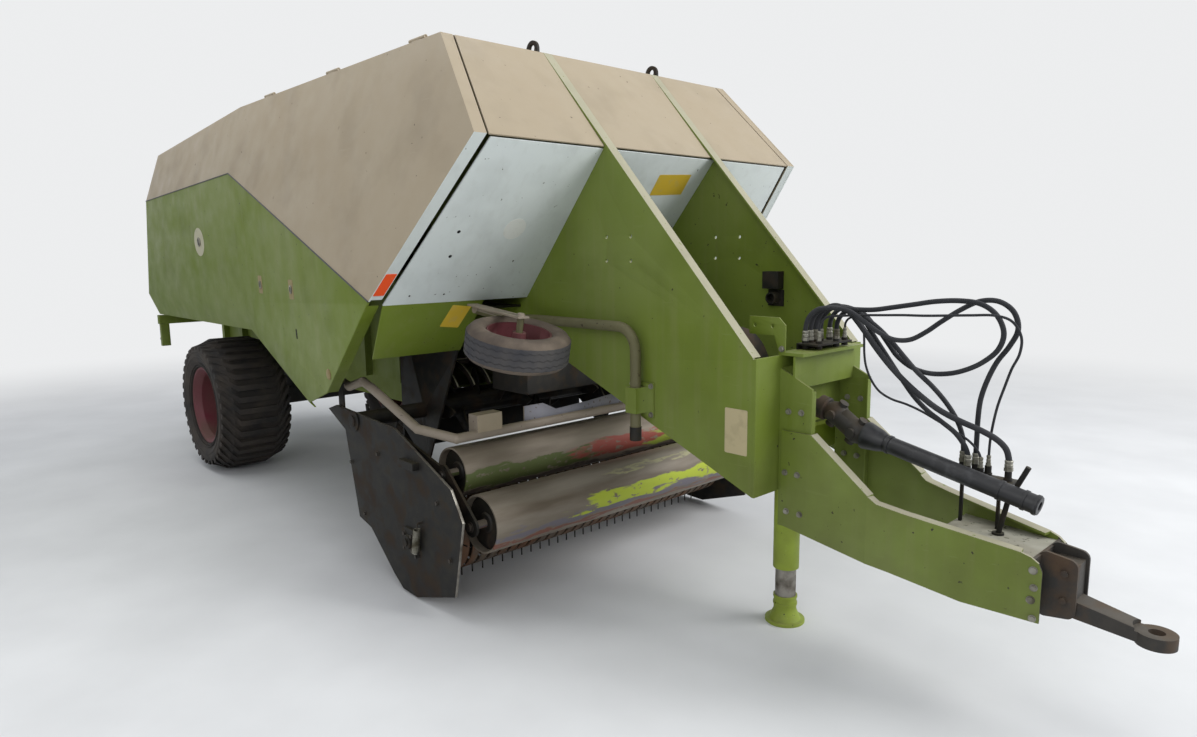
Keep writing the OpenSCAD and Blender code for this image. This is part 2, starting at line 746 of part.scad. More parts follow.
// Jack: fixed tube behind the drawbar head and a sliding leg with a round foot
jack_top = 1000;
collar_z = 131;
module jack_tube() {
    color(green) translate([jack_x, 0, 0]) {
        difference() {
            translate([0, 0, jack_low_z]) cylinder(r = jack_r, h = jack_top - jack_low_z);
            translate([0, 0, jack_low_z - 1]) cylinder(r = leg_r + leg_gap, h = jack_top - jack_low_z - 20);
        }
        difference() {
            translate([-25, -(frame_half - plate_t), plate_low_z + 80])
                cube([50, frame_w - 2 * plate_t, 120]);
            translate([0, 0, plate_low_z]) cylinder(r = jack_r - 2, h = 400);
        }
    }
}

module jack_leg() {
    color(grey) translate([jack_x, 0, 0]) {
        cylinder(r = foot_r, h = 14);
        translate([0, 0, 13]) cylinder(r1 = foot_r - 18, r2 = leg_r + 5, h = 47);
        translate([0, 0, 59]) cylinder(r = leg_r + 5, h = collar_z - 59);
        for (z = [84, collar_z - 12]) translate([0, 0, z]) cylinder(r = leg_r + 8, h = 12);
        translate([0, 0, collar_z - 1]) cylinder(r = leg_r, h = jack_top - jack_stroke - 40 - collar_z);
    }
}

// Drive: flywheel, gearbox block, universal joint and tube
fly_x = 380;
fly_z = 1060;
fly_r = 320;
shaft_r = 28;
module flywheel() {
    color(dark) translate([fly_x, 0, fly_z]) rotate([0, 90, 0]) difference() {
        union() {
            cylinder(r = fly_r, h = 70);
            translate([0, 0, -30]) cylinder(r = 90, h = 130);
        }
        translate([0, 0, -31]) cylinder(r = shaft_r + 0.05, h = 132);
        translate([0, 0, 30]) difference() {
            cylinder(r = fly_r - 60, h = 41);
            cylinder(r = 91, h = 41);
        }
    }
}

gear_front = -650;
module gearbox() {
    color(dark) translate([gear_front - 330, -(frame_half - plate_t), 960])
        cube([330, frame_w - 2 * plate_t, 600]);
}

// Shaft from the gearbox down to the flywheel and forward to the universal joint
shaft_bend = [300, 0, fly_z];
shaft_front = 920;
joint_mid = [1010, 0, 1035];
pto_elbow = [1105, 0, 971];
pto_start = [1205, 0, 948.9];
pto_end = [1843, 0, 808];
module drive_shaft() {
    color(dark) {
        bar([gear_front + 9, 0, 1330], shaft_bend, shaft_r);
        translate(shaft_bend) sphere(r = 40);
        translate(shaft_bend) rotate([0, 90, 0]) cylinder(r = shaft_r, h = shaft_front - shaft_bend[0]);
        bar([shaft_front - 1, 0, fly_z], joint_mid, 38);
        bar(joint_mid, pto_elbow, 46);
        bar(pto_elbow, pto_start, 44);
    }
}

spline_r = 17.5;
module pto_tube() {
    d = (pto_end - pto_start) / norm(pto_end - pto_start);
    color(black) difference() {
        bar(pto_start, pto_end, 36);
        bar(pto_end - 80 * d, pto_end + 10 * d, spline_r);
    }
}

holder_y = 46.3;
module pto_holder() {
    color(dark) {
        bent_bar([[1688, holder_y, cover_z + 14], [1716, holder_y, 790], [1781, holder_y, 933]], 10);
        translate([1687, holder_y, cover_z + 10]) cylinder(r = 22, h = 8);
    }
}

// Feeder: housing behind the pickup that narrows to the bale channel, and its rotor
feed_half = 700;
feed_t = 12;
// Station of the rear face of the white hood face and the green skirt at height z
function skirt_back_x(z) = white_x(z) - sheet_t * sqrt(1 + undercut * undercut) - 0.1;

// Stripper fingers round the front of the feeder
finger_r = 275;
finger_count = 12;
function finger_y(i) = (i - (finger_count - 1) / 2) * 112;

module feeder_housing() {
    top = 1462;
    back = -channel_front + 20;
    color(dark) {
        both_sides() difference() {
            union() {
                across(feed_half, feed_half + feed_t) polygon([
                    [skirt_back_x(skirt_z), skirt_z], [skirt_back_x(top), top], [back, top], [back, 700],
                    [-1300, 560], [-1200, 560]]);
                along_y(feeder_x, feeder_z, pivot_r, feed_half + feed_t - 1, pickup_half + 4);
            }
            along_y(feeder_x, feeder_z, rotor_stub_r + pin_gap, feed_half - 1, feed_half + feed_t + 20);
        }
        both_sides() translate([back, frame_half, top - feed_t])
            cube([skirt_back_x(top - feed_t) - back - 1, feed_half + 1 - frame_half, feed_t]);
        along_y(feeder_x, feeder_z + finger_r - 14, 22, -feed_half - 1, feed_half + 1);
        for (i = [0 : finger_count - 1]) across(finger_y(i) - 4, finger_y(i) + 4) difference() {
            translate([feeder_x, feeder_z]) circle(r = finger_r);
            translate([feeder_x, feeder_z]) circle(r = finger_r - 30);
            translate([feeder_x, feeder_z])
                polygon([[0, 0], [0, 400], [-400, 400], [-400, -400], [400, -400], [400, 260]]);
        }
        translate([back - feed_t, -feed_half - feed_t, 560])
            cube([feed_t, 2 * (feed_half + feed_t), channel_z - channel_t - 560]);
        both_sides() translate([back - feed_t, frame_half, channel_z - channel_t - 1])
            cube([feed_t, feed_half + feed_t - frame_half, top - channel_z + channel_t + 1]);
    }
}

pivot_r = 45;
rotor_stub_r = 40;
module feeder_rotor() {
    color(dark) {
        along_y(feeder_x, feeder_z, 70, -feed_half + 10, feed_half - 10);
        along_y(feeder_x, feeder_z, rotor_stub_r, -feed_half - 18, feed_half + 18);
        for (i = [0 : 9]) translate([feeder_x, -630 + i * 140, feeder_z]) rotate([0, i * 45, 0])
            for (a = [0, 180]) rotate([0, a, 0]) across(-6, 6) polygon([
                [50, -50], [feeder_r - 60, -40], [feeder_r - 2, 0], [feeder_r - 20, 14], [50, 50]]);
    }
}

// Pickup: side plates, reel with tines, stripper bands, guard tube and crop rollers
module pickup_frame() {
    color(dark) {
        both_sides() {
            difference() {
                across(pickup_half - pickup_t, pickup_half) polygon([
                    [-1570, 867], [-1370, 773], [-1253, 296], [-1122, 266], [-889, 74], [-800, 16],
                    [-664, 10], [-305, 123], [-217, 510], [-310, 652], [-816, 864], [-1468, 899]]);
                along_y(feeder_x, feeder_z, pivot_r + pin_gap, 0, pickup_half + 1);
            }
        }
        translate([-1150, -(pickup_half - pickup_t), 330]) cube([60, 2 * (pickup_half - pickup_t), 60]);
        both_sides()
            along_y(reel_x, reel_z, reel_stub_r, pickup_half - pickup_t - 30, pickup_half - pickup_t);
    }
}

reel_stub_r = 20;
band_pitch = 2 * (pickup_half - 60) / (band_count - 1);
module pickup_bands() {
    w = band_pitch - 22;
    color(grey) for (i = [0 : band_count - 1]) {
        y = -(pickup_half - 60) + i * band_pitch;
        translate([0, y, 0]) across(-w / 2, w / 2) band_outline();
    }
    color(dark) along_y(-1060, 360, 15, -pickup_half + pickup_t, pickup_half - pickup_t);
}

// Side view of a band: round the reel's front, then two straight tails back to the rear bar
module band_outline() {
    t = 6;
    difference() {
        union() {
            translate([reel_x, reel_z]) circle(r = band_r);
            polygon([[reel_x, reel_z + band_r], [-1060, reel_z + 150], [-1060, reel_z - 120],
                [reel_x, reel_z - band_r]]);
        }
        translate([reel_x, reel_z]) circle(r = band_r - t);
        polygon([[reel_x, reel_z + band_r - t], [-1060 + t, reel_z + 150 - t], [-1060 + t, reel_z - 120 + t],
            [reel_x, reel_z - band_r + t]]);
    }
}

module pickup_reel() {
    color(dark) {
        difference() {
            along_y(reel_x, reel_z, 34, -(pickup_half - pickup_t - 6), pickup_half - pickup_t - 6);
            both_sides()
                along_y(reel_x, reel_z, reel_stub_r + pin_gap, pickup_half - pickup_t - 32, pickup_half);
        }
        for (a = [0 : 90 : 270]) rotate_about(a) {
            translate([0, -(pickup_half - 60), 110]) rotate([-90, 0, 0])
                cylinder(r = 14, h = 2 * (pickup_half - 60));
            for (y = [-1, 0, 1]) translate([-20, y * (pickup_half - 90) - 4, 20]) cube([40, 8, 90]);
            for (i = [0 : band_count - 2]) translate([0, -(pickup_half - 60) + (i + 0.5) * band_pitch, 110])
                cylinder(r = 4, h = tine_r - 110, $fn = 6);
        }
    }
}

module rotate_about(a) { translate([reel_x, 0, reel_z]) rotate([0, a, 0]) children(); }

guard_half = pickup_half - 45;
module crop_guard() {
    side = [[-1500, 1035], [-1379, 1010], [-1216, 1057], [-1118, 1032], [-657, 880]];
    color(beige) {
        bent_bar(concat([for (p = side) [p[0], -guard_half, p[1]]],
            [[-450, -guard_half + 90, 850], [-450, guard_half - 90, 850]],
            [for (i = [len(side) - 1 : -1 : 0]) [side[i][0], guard_half, side[i][1]]]), guard_r);
        translate([-505, -895, 838]) cube([75, 150, 112]);
    }
    color(grey) translate([-481, 0, 0]) rotate([90, 0, 90]) linear_extrude(8) polygon([
        [-570, 845], [-570, 945], [-440, 945], [-350, 900], [-116, 912], [131, 932], [200, 905],
        [570, 905], [570, 845]]);
    color(dark) both_sides() across(guard_half + guard_r - 2, pickup_half - pickup_t) polygon([
        [-1460, 850], [-1400, 850], [-1400, 1030], [-1460, 1030]]);
}

// Arms that carry both crop rollers
upper_roller = [-510, 667];
lower_roller = [-281, 458];
module roller_arms() {
    y = roller_half + 40;
    color(dark) both_sides() {
        across(y, y + 14) difference() {
            hull() {
                translate(upper_roller) circle(r = 50);
                translate(lower_roller) circle(r = 50);
            }
            for (place = [upper_roller, lower_roller]) translate(place) circle(r = roller_shaft_r + pin_gap);
        }
        across(y, y + 14) polygon([[-538, 706], [-900, 800], [-900, 740], [-545, 640]]);
        along_y(-870, 770, 20, y + 13, pickup_half - pickup_t - 0.5);
    }
}

// A crop roller: a tube with drilled end discs on a through shaft
roller_shaft_r = 20;
module roller(place, r) {
    wall = 10;
    color(grey) translate([place[0], 0, place[1]]) {
        difference() {
            along_y(0, 0, r, -roller_half, roller_half);
            along_y(0, 0, r - wall, -roller_half - 1, roller_half + 1);
        }
        both_sides() difference() {
            along_y(0, 0, r - wall + 1, roller_half - 50, roller_half - 40);
            for (a = [0 : 90 : 270]) rotate([0, a, 0])
                along_y(0.6 * r, 0, 0.16 * r, roller_half - 51, roller_half - 39);
        }
        along_y(0, 0, roller_shaft_r, -roller_half - 56, roller_half + 56);
    }
}

// Stored gauge wheels on bent arms in sleeves on the frame plates; each wheel leans forwards
gauge_place = [-120, 870, 1325];
gauge_pin_r = 16;
sleeve = [242, frame_half + 50];
arm_r = 25;
arm_bend = 110;
arm_z = 1395;
strap_lift = 128;
strap_rear = [-560, gauge_place[1] - 70, 1480];
module at_gauge() {
    translate(gauge_place) rotate([0, gauge_lean, 0]) children();
}

// A flat strap from a to b, its width level
module strap(a, b, w, t) {
    d = b - a;
    translate(a) rotate([0, -atan2(d[2], norm([d[0], d[1]])), atan2(d[1], d[0])])
        translate([-w / 2, -w / 2, 0]) cube([norm(d) + w, w, t]);
}

module gauge_arms() {
    corner = [sleeve[0] - arm_bend, arm_z - arm_bend];
    turn = [strap_rear[0] + arm_bend, sleeve[1] + arm_bend];
    path = concat([[sleeve[0], sleeve[1], 930]],
        [for (a = [0 : 15 : 90]) [corner[0] + arm_bend * cos(a), sleeve[1], corner[1] + arm_bend * sin(a)]],
        [for (a = [0 : 15 : 90]) [turn[0] - arm_bend * sin(a), turn[1] - arm_bend * cos(a), arm_z]],
        [strap_rear - [0, 0, 12]]);
    color(beige) both_sides() {
        sweep(path, arm_r, 16, [1, 1, 1], [0, 0, 1], [0, 1, 0.2]);
        strap(strap_rear, gauge_place + strap_lift * [sin(gauge_lean), 0, cos(gauge_lean)], 56, 8);
        at_gauge() {
            translate([0, 0, -75]) cylinder(r = gauge_pin_r, h = strap_lift + 95);
            translate([0, 0, -71]) cylinder(r = 28, h = 10);
        }
    }
    color(green) both_sides() {
        translate([sleeve[0] - 75, frame_half, 975]) cube([150, 8, 165]);
        translate([sleeve[0] - 34, frame_half + 7, 1000]) cube([68, 76, 120]);
    }
    color(dark) both_sides() translate([sleeve[0], sleeve[1], 868]) cylinder(r = arm_r + 3, h = 64);
}

// Small tyre on a dished rim with round holes
rim_seat_r = 150;
rim_half = 64;
module gauge_wheel() {
    half = gauge_w / 2;
    side = [[rim_seat_r, rim_half - 6], [rim_seat_r + 16, half - 5], [gauge_r - 50, half],
        [gauge_r - 17, half - 12], [gauge_r, half - 32]];
    at_gauge() {
        color(rubber) rotate_extrude($fn = 64)
            polygon(concat(side, [for (i = [len(side) - 1 : -1 : 0]) [side[i][0], -side[i][1]]]));
        color(maroon) difference() {
            union() {
                difference() {
                    translate([0, 0, -rim_half]) cylinder(r = rim_seat_r + 1, h = 2 * rim_half);
                    for (z = [-rim_half - 1, -8]) translate([0, 0, z])
                        cylinder(r = rim_seat_r - 7, h = rim_half + (z < -9 ? -15 : 10));
                }
                translate([0, 0, -60]) cylinder(r = 32, h = 120);
            }
            translate([0, 0, -61]) cylinder(r = gauge_pin_r + pin_gap, h = 200);
            for (a = [0 : 72 : 359]) rotate([0, 0, a]) translate([90, 0, -17]) cylinder(r = 27, h = 10);
        }
    }
}

// Twine boxes on both sides of the channel, behind the side panels
module twine_boxes() {
    x0 = -4850;
    x1 = -3000;
    z0 = 1500;
    h = 600;
    d = 480;
    t = 12;
    color(green) both_sides() translate([x0, frame_half + rib_d, z0]) {
        cube([x1 - x0, t, h]);
        cube([x1 - x0, d, t]);
        translate([0, 0, 280]) cube([x1 - x0, d, t]);
        for (x = [0, 1, 2]) translate([x * (x1 - x0 - t) / 2, 0, 0]) cube([t, d, h]);
    }
}

// Yoke below the channel with four curved needles
needle_at = [-2600, 620];
needle_r = 250;
yoke = needle_at + [240, -20];
yoke_half = frame_half - channel_t - 70;
knot_pitch = 180;
module needle_yoke() {
    color(dark) {
        along_y(yoke[0], yoke[1], 40, -yoke_half, yoke_half);
        for (i = [0 : 3]) translate([0, (i - 1.5) * knot_pitch, 0]) across(-5, 5) difference() {
            translate(needle_at) circle(r = needle_r);
            translate(needle_at + [10, 20]) circle(r = needle_r - 25);
            translate([needle_at[0] - 500, yoke[1]]) square([1000, 500]);
        }
        both_sides() translate([yoke[0] - 30, frame_half - channel_t - 88, yoke[1] - 30])
            cube([60, 60, channel_z - channel_t - rail_h - yoke[1] + 30]);
    }
}

// Knotters above the channel, as plain blocks on their shaft
knot_x = -3110;
module knotters() {
    z = channel_z + channel_h + channel_t;
    color(dark) {
        translate([knot_x - 190, -frame_half, z]) cube([400, frame_w, 80]);
        for (i = [0 : 3]) translate([knot_x - 90, (i - 1.5) * knot_pitch - 30, z + 79]) cube([180, 60, 220]);
    }
    color(grey) along_y(knot_x, z + 200, 20, -frame_half, frame_half);
}

module lifting_eyes() {
    y = frame_half + 11.5;
    color(dark) both_sides() for (x = [-470, -2700]) translate([x, 0, 0]) difference() {
        across(y, y + 15) hull() {
            translate([-30, roof_z + 20]) circle(r = 45);
            translate([-75, roof_z]) square([90, 1]);
        }
        along_y(-30, roof_z + 25, 20, y - 10, y + 30);
        translate([-300, y - 30, roof_z - 200]) cube([600, 100, 200]);
    }
}

// Hoses and cables: from the bulkhead on the drawbar head, in loops, to the rack on the drawbar
hose_z = 1355;
hose_end_z = 890;
hose_rows = [905, 960];
bend_r = 95;
rack_z = 840;

// A hose leaves its fitting straight up and bends forward over a quarter circle of radius r
function hose_rise(x, y, r = bend_r) = concat([[x, y, hose_z]],
    [for (a = [0 : 30 : 90]) [x + r * (1 - cos(a)), y, hose_z + 50 + r * sin(a)]]);

far_route = concat(hose_rise(hose_rows[0], -100), [[1060, -100, 1500], [1115, -98, 1488],
    [1170, -85, 1450], [1218, -60, 1410], [1270, -35, 1382], [1325, -5, 1382], [1380, 15, 1415],
    [1435, 30, 1460], [1505, 40, 1510], [1570, 50, 1543], [1635, 60, 1543], [1685, 70, 1505],
    [1700, 80, 1440], [1670, 90, 1375], [1625, 100, 1310], [1590, 110, 1235], [1565, 120, 1155],
    [1555, 130, 1075], [1555, 130, 1000], [1555, 130, 945], [1555, 130, hose_end_z]]);
back_route = concat(hose_rise(hose_rows[0], -60), [[1055, -60, 1500], [1105, -60, 1497],
    [1185, -50, 1498], [1260, -40, 1510], [1345, -30, 1525], [1430, -20, 1540], [1515, -5, 1545],
    [1590, 5, 1535], [1645, 15, 1495], [1670, 25, 1430], [1650, 35, 1365], [1595, 42, 1312],
    [1530, 50, 1275], [1460, 54, 1252], [1380, 57, 1245], [1305, 60, 1262], [1245, 60, 1300],
    [1205, 60, 1346], [1168, 60, 1391], [1133, 60, 1426], [1097, 60, 1462], [1065, 60, 1481],
    [1027, 60, 1484], [993, 60, 1470], [969, 60, 1441], [hose_rows[1], 60, 1405], [hose_rows[1],
    60, hose_z]]);
middle_route = concat(hose_rise(hose_rows[0], 20), [[1060, 20, 1490], [1120, 20, 1455],
    [1185, 20, 1410], [1240, 22, 1360], [1290, 25, 1307], [1345, 30, 1250], [1395, 58, 1195],
    [1435, 92, 1135], [1470, 118, 1070], [1495, 130, 1005], [1505, 130, 945], [1505, 130, hose_end_z]]);
low_route = concat(hose_rise(hose_rows[0], 95, 85), [[1033, 94, 1478], [1065, 93, 1447],
    [1096, 91, 1408], [1130, 90, 1362], [1170, 90, 1310], [1214, 87, 1255], [1262, 85, 1195],
    [1318, 82, 1132], [1375, 80, 1085], [1432, 80, 1050], [1490, 80, 1012], [1530, 80, 965],
    [1545, 80, 925], [1545, 80, hose_end_z]]);
thick_route = concat(hose_rise(hose_rows[0], -20, 100), [[1060, -20, 1484], [1100, -18, 1445],
    [1140, -14, 1396], [1185, -10, 1338], [1240, 0, 1272], [1300, 10, 1212], [1365, 20, 1158],
    [1435, 35, 1108], [1510, 56, 1070], [1582, 80, 1040], [1640, 96, 1010], [1677, 103, 974],
    [1690, 105, 926], [1690, 105, hose_end_z]]);
cable_far_route = concat(hose_rise(hose_rows[1], -80, 60), [[1090, -75, 1471], [1160, -68, 1476],
    [1230, -60, 1479], [1315, -52, 1483], [1400, -50, 1485], [1490, -45, 1490], [1575, -40, 1495],
    [1655, -35, 1498], [1715, -30, 1480], [1745, -15, 1425], [1735, 10, 1360], [1700, 40, 1295],
    [1670, 70, 1225], [1640, 95, 1145], [1620, 115, 1070], [1608, 127, 1000], [1605, 130, 945],
    [1605, 130, hose_end_z]]);
cable_low_route = concat(hose_rise(hose_rows[1], 130, 42), [[1023, 131, 1442], [1038, 133, 1427],
    [1047, 135, 1400], [1050, 138, 1350], [1052, 140, 1290], [1062, 140, 1235], [1088, 138, 1180],
    [1130, 135, 1132], [1190, 130, 1105], [1260, 125, 1092], [1330, 120, 1072], [1400, 112, 1045],
    [1475, 104, 1014], [1540, 94, 985], [1580, 84, 952], [1595, 80, 920], [1595, 80, hose_end_z]]);

// A point on the smooth curve through the points p, at t of the way from point i to the next
function curve_point(p, i, t) =
    let (b = p[i], c = p[i + 1], a = i > 0 ? p[i - 1] : 2 * b - c, d = i + 2 < len(p) ? p[i + 2] : 2 * c - b)
    (2 * b + (c - a) * t + (2 * a - 5 * b + 4 * c - d) * t * t + (3 * b - a - 3 * c + d) * t * t * t) / 2;

// A hose through the points p, upright at both of its ends
module hose(p, r, sides = 8) {
    path = [for (i = [0 : len(p) - 2], t = [0, 0.5]) curve_point(p, i, t), p[len(p) - 1]];
    color(black) sweep(path, r, sides, [0, 1, 0], [0, 0, 1], [0, 0, -1]);
}

// Bulkhead with its fittings, the rack for the couplings, and the sockets on the left frame plate
module hose_rack() {
    color(dark) {
        translate([877, -125, head_top + 7]) cube([8, 280, hose_z - head_top - 18]);
        translate([877, -125, hose_z - 19]) cube([105, 280, 8]);
        for (end = [[hose_rows[0], -100], [hose_rows[0], -60], [hose_rows[0], -20], [hose_rows[0], 20],
            [hose_rows[0], 95], [hose_rows[1], -80], [hose_rows[1], 60], [hose_rows[1], 130]])
            translate([end[0], end[1], hose_z - 34]) cylinder(r = 14, h = 34);
        for (x = [1512, 1655]) translate([x, 99, cover_z + 10]) cube([12, 12, rack_z - cover_z - 9]);
        translate([1480, 60, rack_z]) cube([235, 92, 10]);
        for (end = [[1555, 130], [1505, 130], [1545, 80], [1690, 105], [1605, 130], [1595, 80]])
            translate([end[0], end[1], rack_z - 28]) {
                cylinder(r = 11, h = 30);
                translate([0, 0, 37]) cylinder(r = 16, h = 13);
                translate([0, 0, 28]) cylinder(r = 13, h = hose_end_z - rack_z);
            }
        translate([353, frame_half - plate_t - 52, 1545]) cube([95, 52, 88]);
        translate([361, frame_half - plate_t - 8, 1456]) cube([92, 8, 84]);
        difference() {
            along_y(407, 1498, 30, frame_half - plate_t - 56, frame_half - plate_t - 7);
            along_y(407, 1498, 22, frame_half - plate_t - 57, frame_half - plate_t - 20);
        }
    }
}

from_nose() roof();
from_nose() hood_upper();
from_nose() hood_lower();
from_nose() front_skirt();
from_nose() mirror([0, 1, 0]) frame_plate();  // frame_plate_right
from_nose() frame_plate();  // frame_plate_left
from_nose() chamber_sides();
from_nose() chamber_floor();
from_nose() chamber_top();
from_nose() axle();
from_nose() wheel_place(-1) tyre();  // tyre_right
from_nose() wheel_place(1) tyre();  // tyre_left
from_nose() wheel_place(-1) rim();  // rim_right
from_nose() wheel_place(1) rim();  // rim_left
from_nose() mirror([0, 1, 0]) panel_upper();  // panel_upper_right
from_nose() mirror([0, 1, 0]) panel_lower();  // panel_lower_right
from_nose() panel_upper();  // panel_upper_left
from_nose() panel_lower();  // panel_lower_left
from_nose() rear_portal();
from_nose() rear_hood();
from_nose() chute();  // bale_chute
from_nose() rear_bar();
from_nose() drawbar_head();
from_nose() drawbar();
from_nose() hitch_eye();
from_nose() jack_tube();
from_nose() jack_leg();
from_nose() flywheel();
from_nose() gearbox();
from_nose() drive_shaft();
from_nose() pto_tube();
from_nose() pto_holder();
from_nose() feeder_housing();
from_nose() feeder_rotor();
from_nose() pickup_frame();
from_nose() pickup_bands();
from_nose() pickup_reel();
from_nose() crop_guard();
from_nose() roller_arms();
from_nose() roller(upper_roller, roller_upper_r);  // roller_upper
from_nose() roller(lower_roller, roller_lower_r);  // roller_lower
from_nose() gauge_arms();
from_nose() mirror([0, 1, 0]) gauge_wheel();  // gauge_wheel_right
from_nose() gauge_wheel();  // gauge_wheel_left
from_nose() twine_boxes();
from_nose() needle_yoke();
from_nose() knotters();
from_nose() lifting_eyes();
from_nose() hose_rack();
from_nose() hose(far_route, hose_r);  // hose_far
from_nose() hose(back_route, hose_r);  // hose_back
from_nose() hose(middle_route, hose_r);  // hose_middle
from_nose() hose(low_route, hose_r);  // hose_low
from_nose() hose(thick_route, thick_r);  // cable_thick
from_nose() hose(cable_far_route, cable_r, 6);  // cable_far
from_nose() hose(cable_low_route, cable_r, 6);  // cable_low
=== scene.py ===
"""Dresses the square baler: its hoses, finishes and fittings, the floor, the light and the camera.

The frame is the machine's own, in metres: +X forward to the drawbar's eye, +Y to the machine's
left, +Z up from the floor. Places on the machine are written in millimetres from the foot of
the hood's nose edge, and at() turns them into the frame.
"""

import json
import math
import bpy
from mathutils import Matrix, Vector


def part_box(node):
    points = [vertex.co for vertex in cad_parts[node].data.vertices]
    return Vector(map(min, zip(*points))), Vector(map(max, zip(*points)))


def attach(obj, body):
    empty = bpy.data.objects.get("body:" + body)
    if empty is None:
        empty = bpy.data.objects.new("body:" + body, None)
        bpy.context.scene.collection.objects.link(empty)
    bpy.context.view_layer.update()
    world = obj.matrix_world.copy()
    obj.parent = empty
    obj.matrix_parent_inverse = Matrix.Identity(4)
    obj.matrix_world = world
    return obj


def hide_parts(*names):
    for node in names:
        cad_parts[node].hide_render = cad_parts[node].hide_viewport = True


bl_info = {
    "name": "Square Baler",
    "version": (1, 0, 0),
    "blender": (4, 5, 0),
    "location": "3D View > Sidebar > Baler",
    "description": "Finishes, hoses and fittings of a towed square baler",
    "category": "Add Mesh",
}

import bmesh
import bpy
from mathutils import Matrix, Vector
from mathutils.bvhtree import BVHTree

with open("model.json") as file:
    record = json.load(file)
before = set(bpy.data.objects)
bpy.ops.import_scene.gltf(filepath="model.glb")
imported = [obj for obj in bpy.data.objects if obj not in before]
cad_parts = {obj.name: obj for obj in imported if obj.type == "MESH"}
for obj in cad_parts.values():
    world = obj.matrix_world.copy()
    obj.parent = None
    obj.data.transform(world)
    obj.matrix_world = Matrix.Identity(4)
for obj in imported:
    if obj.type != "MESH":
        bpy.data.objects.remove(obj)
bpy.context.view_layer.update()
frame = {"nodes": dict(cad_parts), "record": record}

# The nose edge of the hood lies this far ahead of the machine's middle, in metres
NOSE_X = 1.6295
BOTH = (-1, 1)
SIDES = ((-1, "right"), (1, "left"))
UP, LEFT, AHEAD = Vector((0, 0, 1)), Vector((0, 1, 0)), Vector((1, 0, 0))

# Sizes that the finishes and fittings share with the solids, in millimetres
FRAME_HALF = 418.5
GAUGE_PLACE = (-120, 870, 1325)
GAUGE_AXIS = Vector((math.sin(math.radians(13)), 0, math.cos(math.radians(13))))
GAUGE_RIM_R = 150.8
FEEDER = (-1250, 840)
FINGER_R = 275
PICKUP_HALF = 1140
HUB_HALF = 820
AXLE = (-4070, 535)
# A roller's axis and radius
UPPER_ROLLER = (-510, 667, 127)
LOWER_ROLLER = (-281, 458, 143)
ROLLER_HALF = 1000
REEL = (-700, 300)
# The outward direction of the hood's lower faces, their run back for each step down, and the
# height of the nose edge that they start from
WHITE_SLOPE = (0.7623, 0, -0.6472)
WHITE_RUN = 0.849
NOSE_Z = 2234


def at(x, y, z):
    """A place in millimetres from the nose edge's foot, in metres in the frame."""
    return Vector((x / 1000 + NOSE_X, y / 1000, z / 1000))


def linear(colour):
    """An sRGB hex colour as linear RGBA; a colour that is linear already stays as it is."""
    if not isinstance(colour, str):
        return list(colour)
    rgb = [int(colour[i : i + 2], 16) / 255 for i in (1, 3, 5)]
    return [c / 12.92 if c <= 0.04045 else ((c + 0.055) / 1.055) ** 2.4 for c in rgb] + [1.0]


def paint_property(name, description, hex_colour):
    return bpy.props.FloatVectorProperty(
        name=name, description=description, subtype="COLOR", size=4, min=0, max=1,
        default=linear(hex_colour),
    )


def length_property(name, description, metres):
    return bpy.props.FloatProperty(
        name=name, description=description, unit="LENGTH", min=0.0005, default=metres
    )


class BALER_PG_paints(bpy.types.PropertyGroup):
    """The colours that an owner would change"""

    shell: paint_property("Shell", "Roof, hood and upper side panels", "#A4967F")
    face: paint_property("White faces", "Lower faces of the hood", "#CDD4D2")
    body: paint_property("Body", "Frame plates, skirts, chamber and drawbar", "#65761D")
    # A lit copy of the body paint: a painted highlight
    lit_body: paint_property("Lit body", "Body paint where light falls on it, a painted highlight", "#90A424")
    rims: paint_property("Rims", "Rims of the road and gauge wheels", "#642531")
    iron: paint_property("Iron", "Pickup, feeder and other working parts", "#151412")
    rubber: paint_property("Rubber", "Tyres", "#1D1B1A")
    film: paint_property("Sticker film", "Blank stickers", "#D3B23A")


class BALER_PG_sizes(bpy.types.PropertyGroup):
    """The sizes of the fittings that a maker would change"""

    bolt: length_property("Bolt", "Width of a bolt's head across its flats", 0.018)
    rivet: length_property("Round head", "Diameter of a round bolt head", 0.020)
    wheel_nut: length_property("Wheel nut", "Width of a wheel nut across its flats", 0.030)
    sticker: length_property("Sticker", "Thickness of a sticker with its edge", 0.0008)
    tine_wire: length_property("Tine wire", "Diameter of the pickup's tine wire", 0.006)
    spring_wire: length_property("Spring wire", "Diameter of the pickup springs' wire", 0.006)


def add_node(tree, kind, inputs=None, result=0, **settings):
    """Adds a node with its settings, sets or links its inputs, and gives one of its outputs."""
    node = tree.nodes.new(kind)
    for name, value in settings.items():
        setattr(node, name, value)
    for key, value in (inputs or {}).items():
        if isinstance(value, bpy.types.NodeSocket):
            tree.links.new(value, node.inputs[key])
        else:
            node.inputs[key].default_value = value
    return node.outputs[result] if len(node.outputs) else node


def toward(colour, other, share):
    """A colour part of the way to another."""
    return [a + (b - a) * share for a, b in zip(linear(colour), linear(other))]


